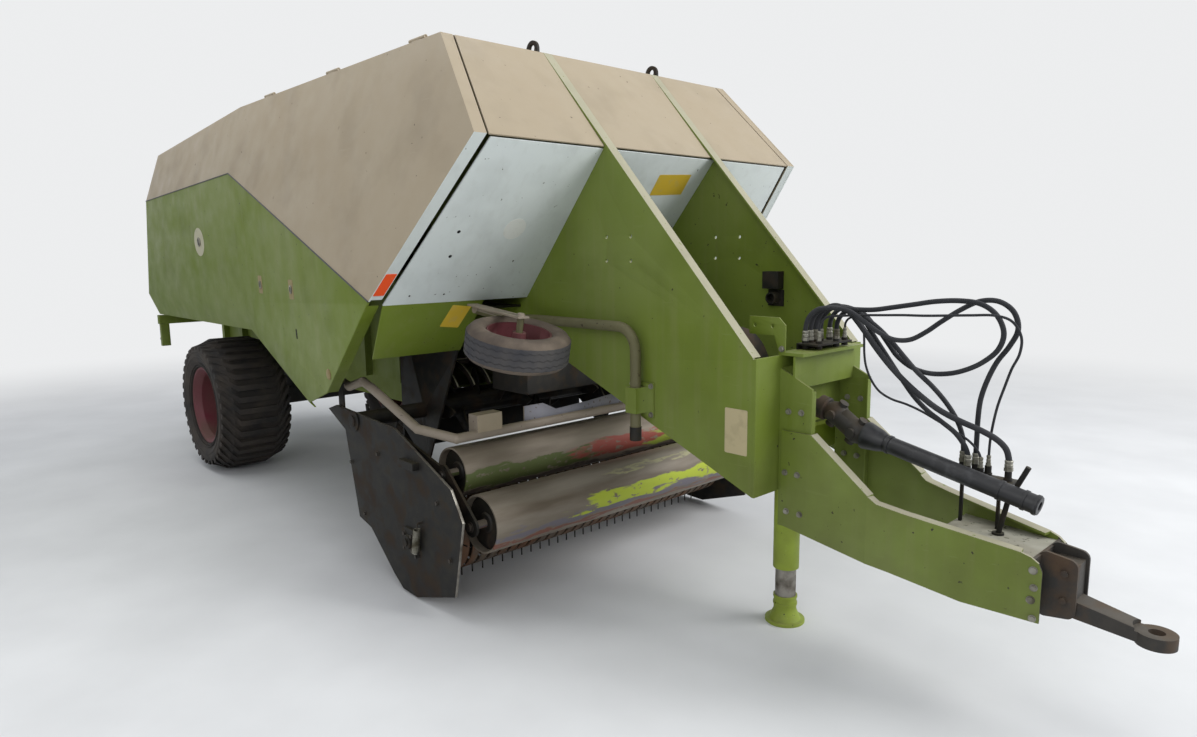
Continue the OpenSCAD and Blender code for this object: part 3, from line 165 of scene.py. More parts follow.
class Finish:
    """A material in the making: its shader, its Object coordinates and its colour so far."""

    def __init__(self, name, colour, shader):
        self.material = bpy.data.materials.new(name)
        self.material.use_nodes = True
        self.tree = self.material.node_tree
        self.tree.nodes.clear()
        self.surface = self.add("BsdfPrincipled", shader).node
        self.output = self.add("OutputMaterial", {0: self.surface.outputs[0]})
        self.place = self.add("TexCoord", result="Object")
        self.colour = linear(colour)

    def add(self, kind, inputs=None, result=0, **settings):
        return add_node(self.tree, "ShaderNode" + kind, inputs, result, **settings)

    def noise(self, size_mm, detail, stretch):
        """Cloudy noise whose features measure about size_mm."""
        moved = self.add("Mapping", {"Vector": self.place, "Scale": stretch})
        inputs = {"Vector": moved, "Scale": 1000 / size_mm, "Detail": detail}
        return self.add("TexNoise", inputs)

    def patches(self, size_mm, low, high, detail=4.0, stretch=(1, 1, 1)):
        """A mask of patches about size_mm across: 0 where the noise is low and 1 where high."""
        noise = self.noise(size_mm, detail, stretch)
        return self.add("MapRange", {"Value": noise, "From Min": low, "From Max": high})

    def upright(self, vector, low, high):
        """A mask from a vector's height: 0 at low and 1 at high."""
        height = self.add("SeparateXYZ", {0: vector}, "Z")
        return self.add("MapRange", {"Value": height, "From Min": low, "From Max": high})

    def facing_up(self):
        """A mask that is 1 on faces that look up, where dust settles."""
        return self.upright(self.add("NewGeometry", result="Normal"), 0.35, 0.95)

    def cover(self, colour, share, *masks):
        """Lays a colour over what is there, by the product of its share and its masks."""
        for mask in masks:
            share = self.add("Math", {0: mask, 1: share}, operation="MULTIPLY")
        inputs = {0: share, 6: self.colour, 7: linear(colour)}
        self.colour = self.add("Mix", inputs, 2, data_type="RGBA")

    def finished(self, gloss, *bumps):
        """The material with its colour, its roughness and stacked bumps. gloss is a mask and the
        roughness at its 0 and 1; a bump is a mask, its strength and its depth in millimetres."""
        ends = {"Base Color": self.colour}
        if gloss:
            mask, smooth, rough = gloss
            inputs = {"Value": mask, "To Min": smooth, "To Max": rough}
            ends["Roughness"] = self.add("MapRange", inputs)
        for height, strength, depth_mm in bumps:
            inputs = {"Height": height, "Strength": strength, "Distance": depth_mm / 1000}
            if "Normal" in ends:
                inputs["Normal"] = ends["Normal"]
            ends["Normal"] = self.add("Bump", inputs)
        for name, socket in ends.items():
            self.tree.links.new(socket, self.surface.inputs[name])
        return self.material


DUST = "#8D8468"
SOIL = "#4E4434"


def enamel(name, paint, chipped, dust=DUST, dust_amount=0.5, chip_level=0.70):
    """Sprayed machine enamel on sheet steel: satin, sun-faded in broad patches, with fine run-down
    streaks, dust on what looks up, darker brown towards the bottom, hair scratches, and chips."""
    finish = Finish(name, paint, {"Coat Weight": 0.02, "Specular IOR Level": 0.38})
    faded, grimy = toward(paint, "#C9C4B0", 0.11), toward(paint, "#2C2A1C", 0.30)
    dusty = finish.patches(160, 0.30, 0.72, 6.0)
    chips = finish.patches(22, chip_level, chip_level + 0.02, 3.0)
    finish.cover(faded, 1.0, finish.patches(900, 0.35, 0.75))
    finish.cover(grimy, 0.55, finish.patches(260, 0.50, 0.78, 8.0))
    finish.cover(dust, 0.13, finish.patches(45, 0.52, 0.74, 6.0, (1, 1, 0.05)))
    finish.cover(dust, dust_amount, finish.facing_up(), dusty)
    # Darker brown towards the bottom, from 1.35 m down to 0.25 m above the floor
    finish.cover(SOIL, 0.5, finish.upright(finish.place, 1.35, 0.25), dusty)
    # Hair scratches are 0.2 mm wide; drawn at 1 mm so that they show
    finish.cover(faded, 0.35, finish.patches(14, 0.70, 0.72, 2.0, (0.08, 1, 1)))
    finish.cover(chipped, 1.0, chips)
    # Orange peel of sprayed enamel is about 3 mm across; drawn at 8 mm so that it shows
    peel = finish.patches(8, 0.2, 0.8, 2.0)
    waves = finish.patches(420, 0.2, 0.8, 2.0)
    return finish.finished(
        (dusty, 0.45, 0.72), (waves, 0.10, 6.0), (peel, 0.10, 0.4), (chips, 0.2, -0.3)
    )


def oiled_iron(name, base, rust, dust, rust_level=0.50):
    """Dark painted iron that has seen oil, soil and rust: mottled brown-black, rough."""
    finish = Finish(name, base, {"Specular IOR Level": 0.3})
    rusty = finish.patches(120, rust_level, rust_level + 0.16, 8.0)
    finish.cover(rust, 0.75, rusty)
    finish.cover(dust, 0.22, finish.patches(60, 0.42, 0.72, 6.0))
    finish.cover(dust, 0.4, finish.facing_up())
    return finish.finished((rusty, 0.58, 0.9), (finish.patches(7, 0.3, 0.8, 6.0), 0.35, 0.8))


def roller_steel(node, bare, paints):
    """Steel tube that straw has rubbed dull, with what is left of its paints in ragged
    streaks; a paint is its colour, its angles from low to high and its reach along Y."""
    finish = Finish("Straw-worn steel of " + node, bare, {"Metallic": 0.25})
    low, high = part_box(node)
    axis = ((low[0] + high[0]) / 2, 0, (low[2] + high[2]) / 2)
    spoke = finish.add("VectorMath", {0: finish.place, 1: axis}, operation="SUBTRACT")
    out = finish.add("SeparateXYZ", {0: spoke}).node.outputs
    # The angle about the roller's axis is 0 at the front and positive above
    angle = finish.add("Math", {0: out["Z"], 1: out["X"]}, operation="ARCTAN2")
    ragged = finish.noise(120, 8.0, (3, 0.6, 3))
    turn = finish.add("Math", {0: ragged, 1: angle}, operation="ADD")
    along = finish.add(
        "Math", {0: ragged, 1: 0.9, 2: out["Y"]}, operation="MULTIPLY_ADD"
    )
    finish.cover("#655A4C", 1.0, finish.patches(90, 0.35, 0.7, 6.0, (1, 0.15, 1)))
    flakes = finish.patches(26, 0.34, 0.42, 6.0, (1, 0.5, 1))
    for paint, lowest, highest, first, last in paints:
        # The ragged noise adds 0.5 rad and 0.45 m on average, so the limits move with it
        limits = (
            (turn, lowest + 0.5, 0.06), (turn, highest + 0.5, -0.06),
            (along, first + 0.45, 0.10), (along, last + 0.45, -0.10),
        )
        masks = [
            finish.add("MapRange", {"Value": v, "From Min": edge, "From Max": edge + soft})
            for v, edge, soft in limits
        ]
        finish.cover(paint, 0.9, flakes, *masks)
    rubbed = finish.patches(40, 0.2, 0.9, 6.0, (1, 0.1, 1))
    return finish.finished((rubbed, 0.42, 0.72), (rubbed, 0.1, 0.4))


def worn_steel(name, bare, grime, metallic=0.7, grain_mm=6):
    """Bare steel rubbed by crop: grey, dull, with brown grime where nothing rubs."""
    finish = Finish(name, bare, {"Metallic": metallic})
    dirty = finish.patches(70, 0.42, 0.68, 8.0)
    finish.cover(grime, 1.0, dirty)
    grain = finish.patches(grain_mm, 0.2, 0.8, 6.0)
    return finish.finished((dirty, 0.38, 0.8), (grain, 0.15, 0.3))


def rubber(name, black, dust, dust_amount):
    """Natural rubber compound: near black, matt, with soil dust in its hollows."""
    finish = Finish(name, black, {"Roughness": 0.85, "IOR": 1.52})
    finish.cover(dust, dust_amount, finish.patches(130, 0.35, 0.72, 8.0))
    return finish.finished(None, (finish.patches(9, 0.3, 0.8, 6.0), 0.25, 0.6))


def plastic(name, colour, scuffed, roughness, scuff_level=0.55):
    """Moulded or calendered plastic: even colour, slightly glossy, with pale scuffs."""
    finish = Finish(name, colour, {"Roughness": roughness, "IOR": 1.5})
    finish.cover(scuffed, 0.5, finish.patches(50, scuff_level, scuff_level + 0.2, 8.0))
    return finish.finished(None, (finish.patches(5, 0.2, 0.8, 3.0), 0.1, 0.2))


MATERIALS = {}

# What is left of the rollers' paint: colour, lowest and highest angle, reach along Y in metres
UPPER_STREAKS = [
    ("#4F5C2A", -0.70, 0.22, -1.20, -0.15), ("#97453A", -0.50, 0.30, -0.25, 0.45),
    ("#98A93A", -0.55, 0.26, 0.35, 1.20), ("#4A3C37", -1.00, -0.70, -1.20, 1.20),
]
LOWER_STREAKS = [
    ("#AEBD30", -0.26, 0.32, -0.50, 1.20), ("#6A6670", -0.54, -0.22, -1.20, 1.20),
    ("#7A4A3C", -0.78, -0.54, -1.20, 1.20), ("#A3A07C", 0.80, 0.98, -0.30, 1.20),
]


def build_materials(paints):
    """All finishes by a short name."""
    return {
        # Sun-bleached shell: pale and satin, with few chips and thin grey-beige dust
        "beige": enamel("Beige sprayed enamel", paints.shell, "#4A4034", "#A39780", 0.3, 0.735),
        # Faces that look down stay cool and even, with a few small dark chips
        "white": enamel("Off-white sprayed enamel", paints.face, "#55564F", "#9A9A92", 0.3, 0.73),
        # Body paint: deep yellow-green that dust and hands have browned in broad clouds
        "green": enamel("Yellow-green sprayed enamel", paints.body, "#2E2A1C", DUST, 0.55, 0.715),
        # The same paint, brighter and more yellow where light falls on it: a painted highlight, a
        # lit copy of the body paint
        "lit_green": enamel(
            "Lit yellow-green enamel", paints.lit_body, "#2E2A1C", DUST, 0.4, 0.72
        ),
        # Edges and upper faces drawn pale where light falls on them: a painted highlight, with
        # green left in flecks
        "strip": enamel("Pale enamel edge, painted highlight", "#9C9980", "#6B7A35", "#B8B29C", 0.5, 0.70),
        # White cover that shoes have scuffed: grey-white, mottled brown and chipped all over
        "scuffed": enamel("Scuffed white enamel", "#B9B7A9", "#5D5C4C", "#8B8672", 0.6, 0.64),
        # Old dull paint on the gauge wheels' arms: between olive and brown, with many chips
        "khaki": enamel("Dull khaki enamel", "#5B5838", "#33291C", DUST, 0.5, 0.68),
        # Crop guard's tube: warm grey-beige that straw has rubbed brown in spots
        "guard": enamel("Crop-rubbed beige enamel", "#8B7F71", "#4A3D30", "#A39780", 0.5, 0.71),
        # Crop guard's sheet: cooler and greyer, with brown showing through in many spots
        "sheet": enamel("Crop-rubbed grey enamel", "#80808A", "#5A4C40", "#9A958A", 0.4, 0.64),
        # Pressed steel rims: deep wine red under brown splashes of soil
        "maroon": enamel("Dark red rim enamel", paints.rims, "#2A211C", SOIL, 0.5, 0.70),
        # Rolled and welded working parts: brown-black that swallows light, with rusty clouds
        "iron": oiled_iron("Oiled dark iron", paints.iron, "#33261C", "#45402F"),
        # Sand-cast and forged parts: lighter grey-brown with a fine pitted skin
        "cast": oiled_iron("Weathered cast iron", "#34322F", "#54402F", "#5E564A"),
        # Stripper bands: rust that straw keeps thin, tan where it dries
        "band": oiled_iron("Rusted band steel", "#5F5448", "#6E4A33", "#8A7A66", 0.42),
        # Zinc plate gone dull: pale warm grey heads that stand out from the paint
        "bolt": worn_steel("Zinc-plated bolt steel", "#8F8D82", "#55503F", 0.5, 3),
        # Steel that crop or a sleeve rubs: light grey with brown film in its hollows
        "steel": worn_steel("Crop-worn steel", "#8F8B83", "#4E463C"),
        # Drawn wire and old nuts: dark grey with a soft metal shine
        "spring": worn_steel("Drawn spring steel", "#5C5A56", "#3B332B", 0.8, 3),
        # Moulded road tyres: near black, brown with soil between the lugs
        "tread": rubber("Tyre rubber", paints.rubber, "#463D34", 0.6),
        # Sidewalls that never rub clean: matt grey-brown with dust
        "sidewall": rubber(
            "Dusty sidewall rubber", toward(paints.rubber, "#6E5F52", 0.35), "#76695B", 0.9
        ),
        # Small treads that have stood in the sun: bleached to a cool dark grey
        "small_tread": rubber("Weathered tread rubber", "#323338", "#5A5550", 0.55),
        # Extruded hose covers: even blue-black with a little dust
        "hose": rubber("Hose rubber", "#1B1D22", "#4A4A4C", 0.35),
        # Moulded guards, housings and seals: black with a low gloss and grey scuffs
        "plastic": plastic("Black moulded polyethylene", "#17181B", "#4A4B4E", 0.42),
        # Sticker film, calendered and thin: warm yellow, slightly glossy, faded in patches
        "yellow_film": plastic("Yellow vinyl film", paints.film, "#B9A874", 0.4),
        # The same film browned by the sun: dull tan without contrast
        "tan_film": plastic("Sun-browned vinyl film", "#B2A57F", "#8D8262", 0.5),
        # Clean film: a flat grey-white
        "white_film": plastic("White vinyl film", "#D8DAD4", "#A9A89C", 0.4),
        # Film around a lock, yellowed by the sun and hands: cream with tan wear
        "cream_film": plastic("Yellowed vinyl film", "#B5B195", "#8D8568", 0.5),
        # Film under the small locks, stained by rust: brown-yellow
        "latch_film": plastic("Rust-tinted vinyl film", "#8E8055", "#6E5438", 0.6, 0.48),
        # Moulded acrylic, clear and hard: bright orange with sharp highlights
        "orange": plastic("Orange reflector acrylic", "#E8562A", "#F0A080", 0.15, 0.62),
        # The same acrylic in deep red
        "red": plastic("Red reflector acrylic", "#A3161A", "#C96A60", 0.15, 0.62),
        # The shadow inside holes and keyholes: black and fully matt
        "dark": plastic("Painted shadow in holes", "#0B0B0B", "#1A1917", 0.9),
        # Rollers: straw-polished warm grey with the last flakes of several paints
        "roller_upper": roller_steel("roller_upper", "#8C8273", UPPER_STREAKS),
        "roller_lower": roller_steel("roller_lower", "#8A8275", LOWER_STREAKS),
    }


def body_of_node(node):
    """The body that a node belongs to."""
    for body, nodes in frame["record"]["behaviour"]["bodies"].items():
        if node in nodes:
            return body
    raise RuntimeError("no body holds " + node)


def add_piece(name, data, body):
    """Puts a mesh or a curve in the scene as a piece that rides on a body."""
    piece = bpy.data.objects.new(name, data)
    bpy.context.collection.objects.link(piece)
    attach(piece, body)
    return piece


def add_smooth_piece(name, mesh, body, angle=35):
    """A piece that is shaded smooth but keeps every edge sharper than angle degrees."""
    for polygon in mesh.polygons:
        polygon.use_smooth = True
    mesh.set_sharp_from_angle(angle=math.radians(angle))
    return add_piece(name, mesh, body)


def facing(point, normal, up=UP):
    """A place at a point whose z axis is the normal and whose y axis is as near up as can be."""
    z = Vector(normal).normalized()
    x = Vector(up).cross(z)
    x = x.normalized() if x.length > 1e-4 else AHEAD
    return Matrix.Translation(point) @ Matrix((x, z.cross(x), z)).transposed().to_4x4()


def circle(radius, steps, middle=0.0):
    """The outline of a circle in millimetres."""
    turns = [2 * math.pi * k / steps for k in range(steps)]
    return [(middle + radius * math.cos(a), radius * math.sin(a)) for a in turns]


def rounded(width, height, corner, steps=4):
    """The outline of a rectangle with round corners, in millimetres."""
    points = []
    for quarter, (sx, sy) in enumerate(((1, 1), (-1, 1), (-1, -1), (1, -1))):
        for k in range(steps + 1):
            a = (quarter + k / steps) * math.pi / 2
            x = sx * (width / 2 - corner) + corner * math.cos(a)
            points.append((x, sy * (height / 2 - corner) + corner * math.sin(a)))
    return points


def beside(side, x, y, z):
    """A place on one side of the machine whose z axis points outwards."""
    return facing(at(x, side * y, z), (0, side, 0))


def inside(place, x, y, z):
    """A point of a place, given in millimetres."""
    return place @ (Vector((x, y, z)) / 1000)


class Shape:
    """Closed forms that are gathered into one piece, sized in millimetres."""

    def __init__(self):
        self.bm = bmesh.new()

    def shell(self, rings, closed=False):
        """Joins rings of points with faces; closed joins the last ring to the first."""
        rows = [[self.bm.verts.new(point) for point in ring] for ring in rings]
        for low, high in zip(rows, rows[1:] + (rows[:1] if closed else [])):
            for k in range(len(low)):
                j = (k + 1) % len(low)
                self.bm.faces.new((low[k], low[j], high[j], high[k]))
        if not closed:
            self.bm.faces.new(rows[0][::-1])
            self.bm.faces.new(rows[-1])
        return self

    def turned(self, place, profile, steps=32, closed=False):
        """A turned part: (radius, height) points about the z axis of a place."""
        rings = [[inside(place, x, y, h) for x, y in circle(r, steps)] for r, h in profile]
        return self.shell(rings, closed)

    def slab(self, place, outline, thickness, back=0.0):
        """A flat plate: an outline in a place's xy plane, raised along its z axis."""
        heights = (-back, thickness)
        return self.shell([[inside(place, x, y, z) for x, y in outline] for z in heights])

    def rod(self, points, radius, sides=10):
        """A round rod along points, with the same twist all the way."""
        rings, across = [], None
        for k, point in enumerate(points):
            run = (points[min(k + 1, len(points) - 1)] - points[max(k - 1, 0)]).normalized()
            across = run.orthogonal() if across is None else across - run * across.dot(run)
            across.normalize()
            spokes = [across * x + run.cross(across) * y for x, y in circle(radius, sides)]
            rings.append([point + spoke / 1000 for spoke in spokes])
        return self.shell(rings)

    def piece(self, name, finish, body, slot, angle=35):
        """Ends the shape as a finished piece."""
        bmesh.ops.remove_doubles(self.bm, verts=self.bm.verts, dist=1e-6)
        bmesh.ops.recalc_face_normals(self.bm, faces=self.bm.faces)
        mesh = bpy.data.meshes.new(name)
        self.bm.to_mesh(mesh)
        self.bm.free()
        mesh.materials.append(MATERIALS[finish])
        return add_smooth_piece(name, mesh, body, angle)


def start_tree(name, sizes):
    """A Geometry Nodes tree with named inputs for its sizes."""
    tree = bpy.data.node_groups.new(name, "GeometryNodeTree")
    tree.interface.new_socket("Geometry", in_out="INPUT", socket_type="NodeSocketGeometry")
    for label, value in sizes.items():
        kind = "NodeSocketInt" if isinstance(value, int) else "NodeSocketFloat"
        socket = tree.interface.new_socket(label, in_out="INPUT", socket_type=kind)
        socket.default_value = value
    tree.interface.new_socket("Geometry", in_out="OUTPUT", socket_type="NodeSocketGeometry")
    return tree, add_node(tree, "NodeGroupInput").node.outputs


def end_tree(tree, points, shape, finish, spin=0.0):
    """Puts a shape on every point, its z axis along the point's facing vector and turned by
    chance up to spin, makes the instances real, and paints them."""
    vector = add_node(
        tree, "GeometryNodeInputNamedAttribute", {"Name": "facing"}, "Attribute",
        data_type="FLOAT_VECTOR",
    )
    upright = add_node(tree, "FunctionNodeAlignRotationToVector", {"Vector": vector}, axis="Z")
    chance = add_node(
        tree, "FunctionNodeRandomValue", {2: 0.0, 3: spin, "Seed": 11}, 1, data_type="FLOAT"
    )
    twist = add_node(tree, "FunctionNodeAxisAngleToRotation", {"Axis": UP, "Angle": chance})
    turn = add_node(
        tree, "FunctionNodeRotateRotation", {"Rotation": upright, "Rotate By": twist},
        rotation_space="LOCAL",
    )
    placed = add_node(
        tree, "GeometryNodeInstanceOnPoints",
        {"Points": points, "Instance": shape, "Rotation": turn},
    )
    real = add_node(tree, "GeometryNodeRealizeInstances", {0: placed})
    painted = add_node(
        tree, "GeometryNodeSetMaterial", {"Geometry": real, "Material": MATERIALS[finish]}
    )
    add_node(tree, "NodeGroupOutput", {0: painted})
    return tree


# A hexagon's corner radius and its washer's radius for each unit across the flats
CORNER_SHARE, WASHER_SHARE = 0.577, 0.75
WASHER_DEPTH = 0.004


def bolt_tree(finish):
    """A bolt's head on its washer at every point, each turned by chance."""
    tree, given = start_tree("Bolt heads", {"Width": 0.024, "Height": 0.014, "Sides": 6})
    corner, outside, half = (
        add_node(tree, "ShaderNodeMath", {0: given[size], 1: share}, operation="MULTIPLY")
        for size, share in (("Width", CORNER_SHARE), ("Width", WASHER_SHARE), ("Height", 0.5))
    )
    head = add_node(
        tree, "GeometryNodeMeshCylinder",
        {"Vertices": given["Sides"], "Radius": corner, "Depth": given["Height"]},
    )
    lift = add_node(tree, "ShaderNodeCombineXYZ", {"Z": half})
    raised = add_node(tree, "GeometryNodeTransform", {"Geometry": head, "Translation": lift})
    washer = add_node(
        tree, "GeometryNodeMeshCylinder",
        {"Vertices": 20, "Radius": outside, "Depth": WASHER_DEPTH},
    )
    bolt = add_node(tree, "GeometryNodeJoinGeometry", {0: washer})
    tree.links.new(raised, bolt.node.inputs[0])
    return end_tree(tree, given["Geometry"], bolt, finish, math.pi / 3)


def coil_tree(finish):
    """A coil spring at every point, along the point's facing vector."""
    tree, given = start_tree(
        "Coil springs", {"Radius": 0.016, "Wire": 0.003, "Turns": 14.0, "Length": 0.15}
    )
    spiral = add_node(
        tree, "GeometryNodeCurveSpiral",
        {
            "Resolution": 14, "Rotations": given["Turns"], "Start Radius": given["Radius"],
            "End Radius": given["Radius"], "Height": given["Length"],
        },
    )
    ring = add_node(
        tree, "GeometryNodeCurvePrimitiveCircle", {"Resolution": 6, "Radius": given["Wire"]}
    )
    wire = add_node(
        tree, "GeometryNodeCurveToMesh",
        {"Curve": spiral, "Profile Curve": ring, "Fill Caps": True},
    )
    return end_tree(tree, given["Geometry"], wire, finish)


def grow(name, tree, sizes, seeds, body):
    """Runs a tree on seed points, each with its facing vector, and keeps the plain mesh."""
    mesh = bpy.data.meshes.new(name + "_seeds")
    mesh.from_pydata([point for point, _ in seeds], [], [])
    vectors = mesh.attributes.new("facing", "FLOAT_VECTOR", "POINT")
    for entry, (_, vector) in zip(vectors.data, seeds):
        entry.vector = vector
    seed = bpy.data.objects.new(name + "_seeds", mesh)
    bpy.context.collection.objects.link(seed)
    modifier = seed.modifiers.new("Grow", "NODES")
    modifier.node_group = tree
    for item in tree.interface.items_tree:
        if item.item_type == "SOCKET" and item.in_out == "INPUT" and item.name in sizes:
            modifier[item.identifier] = sizes[item.name]
    view = bpy.context.evaluated_depsgraph_get()
    grown = bpy.data.meshes.new_from_object(seed.evaluated_get(view), depsgraph=view)
    grown.name = name
    seed.modifiers.remove(modifier)
    bpy.data.objects.remove(seed)
    if not grown.polygons:
        raise RuntimeError("nothing grew on the points of " + name)
    return add_smooth_piece(name, grown, body)


class BALER_OT_camera(bpy.types.Operator):
    """Adds the camera: low, from the front right, as wide as a phone's lens"""

    bl_idname = "baler.camera"
    bl_label = "Camera"

    def execute(self, context):
        azimuth, down, roll = (math.radians(a) for a in (46.957, 8.45, -0.633))
        right = Vector((math.cos(azimuth), math.sin(azimuth), 0))
        forward = UP.cross(right) * math.cos(down) - UP * math.sin(down)
        turn = Matrix((right, right.cross(forward), -forward)).transposed().to_4x4()
        lens = bpy.data.cameras.new("camera")
        lens.lens = 24.08
        lens.clip_end = 100
        camera = bpy.data.objects.new("camera", lens)
        place = Matrix.Translation(at(2803, -3094, 1753))
        camera.matrix_world = place @ turn @ Matrix.Rotation(roll, 4, "Z")
        bpy.context.collection.objects.link(camera)
        context.scene.camera = camera
        return {"FINISHED"}


def rise(x, y, bend_r=95):
    """A hose leaves its fitting straight up and bends forward over a quarter circle."""
    turns = [math.radians(a) for a in (0, 30, 60, 90)]
    return [(x, y, 1355)] + [
        (x + bend_r * (1 - math.cos(a)), y, 1405 + bend_r * math.sin(a)) for a in turns
    ]


# Routes in millimetres: node, radius, real length in metres, points
HOSES = [
    ("hose_far", 10, 1.666, rise(905, -100) + [
        (1060, -100, 1500), (1115, -98, 1488), (1170, -85, 1450), (1218, -60, 1410),
        (1270, -35, 1382), (1325, -5, 1382), (1380, 15, 1415), (1435, 30, 1460), (1505, 40, 1510),
        (1570, 50, 1543), (1635, 60, 1543), (1685, 70, 1505), (1700, 80, 1440), (1670, 90, 1375),
        (1625, 100, 1310), (1590, 110, 1235), (1565, 120, 1155), (1555, 130, 1075),
        (1555, 130, 1000), (1555, 130, 945), (1555, 130, 890)]),
    ("hose_back", 10, 1.922, rise(905, -60) + [
        (1055, -60, 1500), (1105, -60, 1497), (1185, -50, 1498), (1260, -40, 1510),
        (1345, -30, 1525), (1430, -20, 1540), (1515, -5, 1545), (1590, 5, 1535), (1645, 15, 1495),
        (1670, 25, 1430), (1650, 35, 1365), (1595, 42, 1312), (1530, 50, 1275), (1460, 54, 1252),
        (1380, 57, 1245), (1305, 60, 1262), (1245, 60, 1300), (1205, 60, 1346), (1168, 60, 1391),
        (1133, 60, 1426), (1097, 60, 1462), (1065, 60, 1481), (1027, 60, 1484), (993, 60, 1470),
        (969, 60, 1441), (960, 60, 1405), (960, 60, 1355)]),
    ("hose_middle", 10, 1.060, rise(905, 20) + [
        (1060, 20, 1490), (1120, 20, 1455), (1185, 20, 1410), (1240, 22, 1360), (1290, 25, 1307),
        (1345, 30, 1250), (1395, 58, 1195), (1435, 92, 1135), (1470, 118, 1070), (1495, 130, 1005),
        (1505, 130, 945), (1505, 130, 890)]),
    ("hose_low", 10, 1.028, rise(905, 95, 85) + [
        (1033, 94, 1478), (1065, 93, 1447), (1096, 91, 1408), (1130, 90, 1362), (1170, 90, 1310),
        (1214, 87, 1255), (1262, 85, 1195), (1318, 82, 1132), (1375, 80, 1085), (1432, 80, 1050),
        (1490, 80, 1012), (1530, 80, 965), (1545, 80, 925), (1545, 80, 890)]),
    ("cable_thick", 12, 1.178, rise(905, -20, 100) + [
        (1060, -20, 1484), (1100, -18, 1445), (1140, -14, 1396), (1185, -10, 1338), (1240, 0, 1272),
        (1300, 10, 1212), (1365, 20, 1158), (1435, 35, 1108), (1510, 56, 1070), (1582, 80, 1040),
        (1640, 96, 1010), (1677, 103, 974), (1690, 105, 926), (1690, 105, 890)]),
    ("cable_far", 5, 1.495, rise(960, -80, 60) + [
        (1090, -75, 1471), (1160, -68, 1476), (1230, -60, 1479), (1315, -52, 1483),
        (1400, -50, 1485), (1490, -45, 1490), (1575, -40, 1495), (1655, -35, 1498),
        (1715, -30, 1480), (1745, -15, 1425), (1735, 10, 1360), (1700, 40, 1295), (1670, 70, 1225),
        (1640, 95, 1145), (1620, 115, 1070), (1608, 127, 1000), (1605, 130, 945),
        (1605, 130, 890)]),
    ("cable_low", 5, 1.038, rise(960, 130, 42) + [
        (1023, 131, 1442), (1038, 133, 1427), (1047, 135, 1400), (1050, 138, 1350),
        (1052, 140, 1290), (1062, 140, 1235), (1088, 138, 1180), (1130, 135, 1132),
        (1190, 130, 1105), (1260, 125, 1092), (1330, 120, 1072), (1400, 112, 1045),
        (1475, 104, 1014), (1540, 94, 985), (1580, 84, 952), (1595, 80, 920), (1595, 80, 890)]),
]


class BALER_OT_hoses(bpy.types.Operator):
    """Adds the hoses and cables from the bulkhead to the rack, with their end fittings"""

    bl_idname = "baler.hoses"
    bl_label = "Hoses"

    def execute(self, context):
        for node, radius, length, route in HOSES:
            points = [at(*point) for point in route]
            hose = self.hose(node + "_rubber", points, radius / 1000)
            fitting = self.fittings(node + "_ends", (points[0], points[-1]), radius)
            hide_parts(node)
        return {"FINISHED"}

    def hose(self, name, points, radius):
        """A smooth curve through the points, as thick as the hose."""
        curve = bpy.data.curves.new(name, "CURVE")
        curve.dimensions = "3D"
        curve.bevel_depth = radius
        curve.bevel_resolution = 4
        curve.resolution_u = 8
        curve.use_fill_caps = True
        curve.materials.append(MATERIALS["hose"])
        spline = curve.splines.new("BEZIER")
        spline.bezier_points.add(len(points) - 1)
        padded = [2 * points[0] - points[1], *points, 2 * points[-1] - points[-2]]
        for knot, before, here, after in zip(spline.bezier_points, padded, points, padded[2:]):
            reach = (after - before) / 6
            knot.handle_left_type = knot.handle_right_type = "FREE"
            knot.co, knot.handle_left, knot.handle_right = here, here - reach, here + reach
        return add_piece(name, curve, "chassis")

    def fittings(self, name, ends, radius):
        """A crimped ferrule over each end of a hose, on a hexagon nut."""
        inside, grip, crimped, waist = radius - 1, radius + 1.2, radius + 3.4, radius + 2.2
        ferrule = [
            (inside, 1), (grip, 1), (grip, 14), (crimped, 16), (crimped, 26), (waist, 28),
            (waist, 31), (crimped, 33), (crimped, 40), (grip, 43), (inside, 43),
        ]
        nut = [(inside, 0), (radius + 5, 0), (radius + 5, 13), (inside, 13)]
        ferrules = Shape()
        for point in ends:
            place = facing(point, UP, AHEAD)
            ferrules.turned(place, ferrule, 20).turned(place, nut, 6)
        return ferrules.piece(name, "bolt", "chassis", "dark_steel", 25)


# The nodes of each finish, right and left ones as one. A number is the radius in millimetres of
# the softened edges on the welded copy that shows the node, and None leaves the solid as it is
NODE_FINISHES = {
    "beige": {"roof": 4, "hood_upper": 2, "panel_upper": 2, "rear_hood": 2},
    "white": {"hood_lower": 2},
    "green": {
        "front_skirt": 2, "frame_plate": 1.5, "panel_lower": 2, "bale_chute": 3, "rear_bar": 3,
        "drawbar_head": 2, "drawbar": 2, "chamber_sides": None, "chamber_floor": None,
        "chamber_top": None, "rear_portal": None, "twine_boxes": None,
    },
    # The jack tube wears the lit copy of the body paint: a painted highlight
    "lit_green": {"jack_tube": 3},
    "khaki": {"gauge_arms": 0},
    "guard": {"crop_guard": 0},
    "iron": {
        "axle": 3, "feeder_housing": 0, "feeder_rotor": 0, "pickup_frame": 2, "needle_yoke": 0,
        "knotters": 3, "lifting_eyes": 2, "pto_holder": 0, "hose_rack": 1.5, "pickup_reel": None,
        "roller_arms": None,
    },
    "cast": {"hitch_eye": 6, "flywheel": 4, "gearbox": 6, "drive_shaft": 0},
    "maroon": {"rim": 2},
    "tread": {"tyre": 4},
    "sidewall": {"gauge_wheel": 0},
    "plastic": {"pto_tube": 2},
    "hose": {node: None for node, *_ in HOSES},
    "steel": {"jack_leg": 3},
    "band": {"pickup_bands": 0},
    "roller_upper": {"roller_upper": 3},
    "roller_lower": {"roller_lower": 3},
}


def from_gauge_axis(x, y, z):
    """How far a place lies from the axis of the stored gauge wheel on its side."""
    out = Vector((x, abs(y), z)) - Vector(GAUGE_PLACE)
    return (out - GAUGE_AXIS * out.dot(GAUGE_AXIS)).length


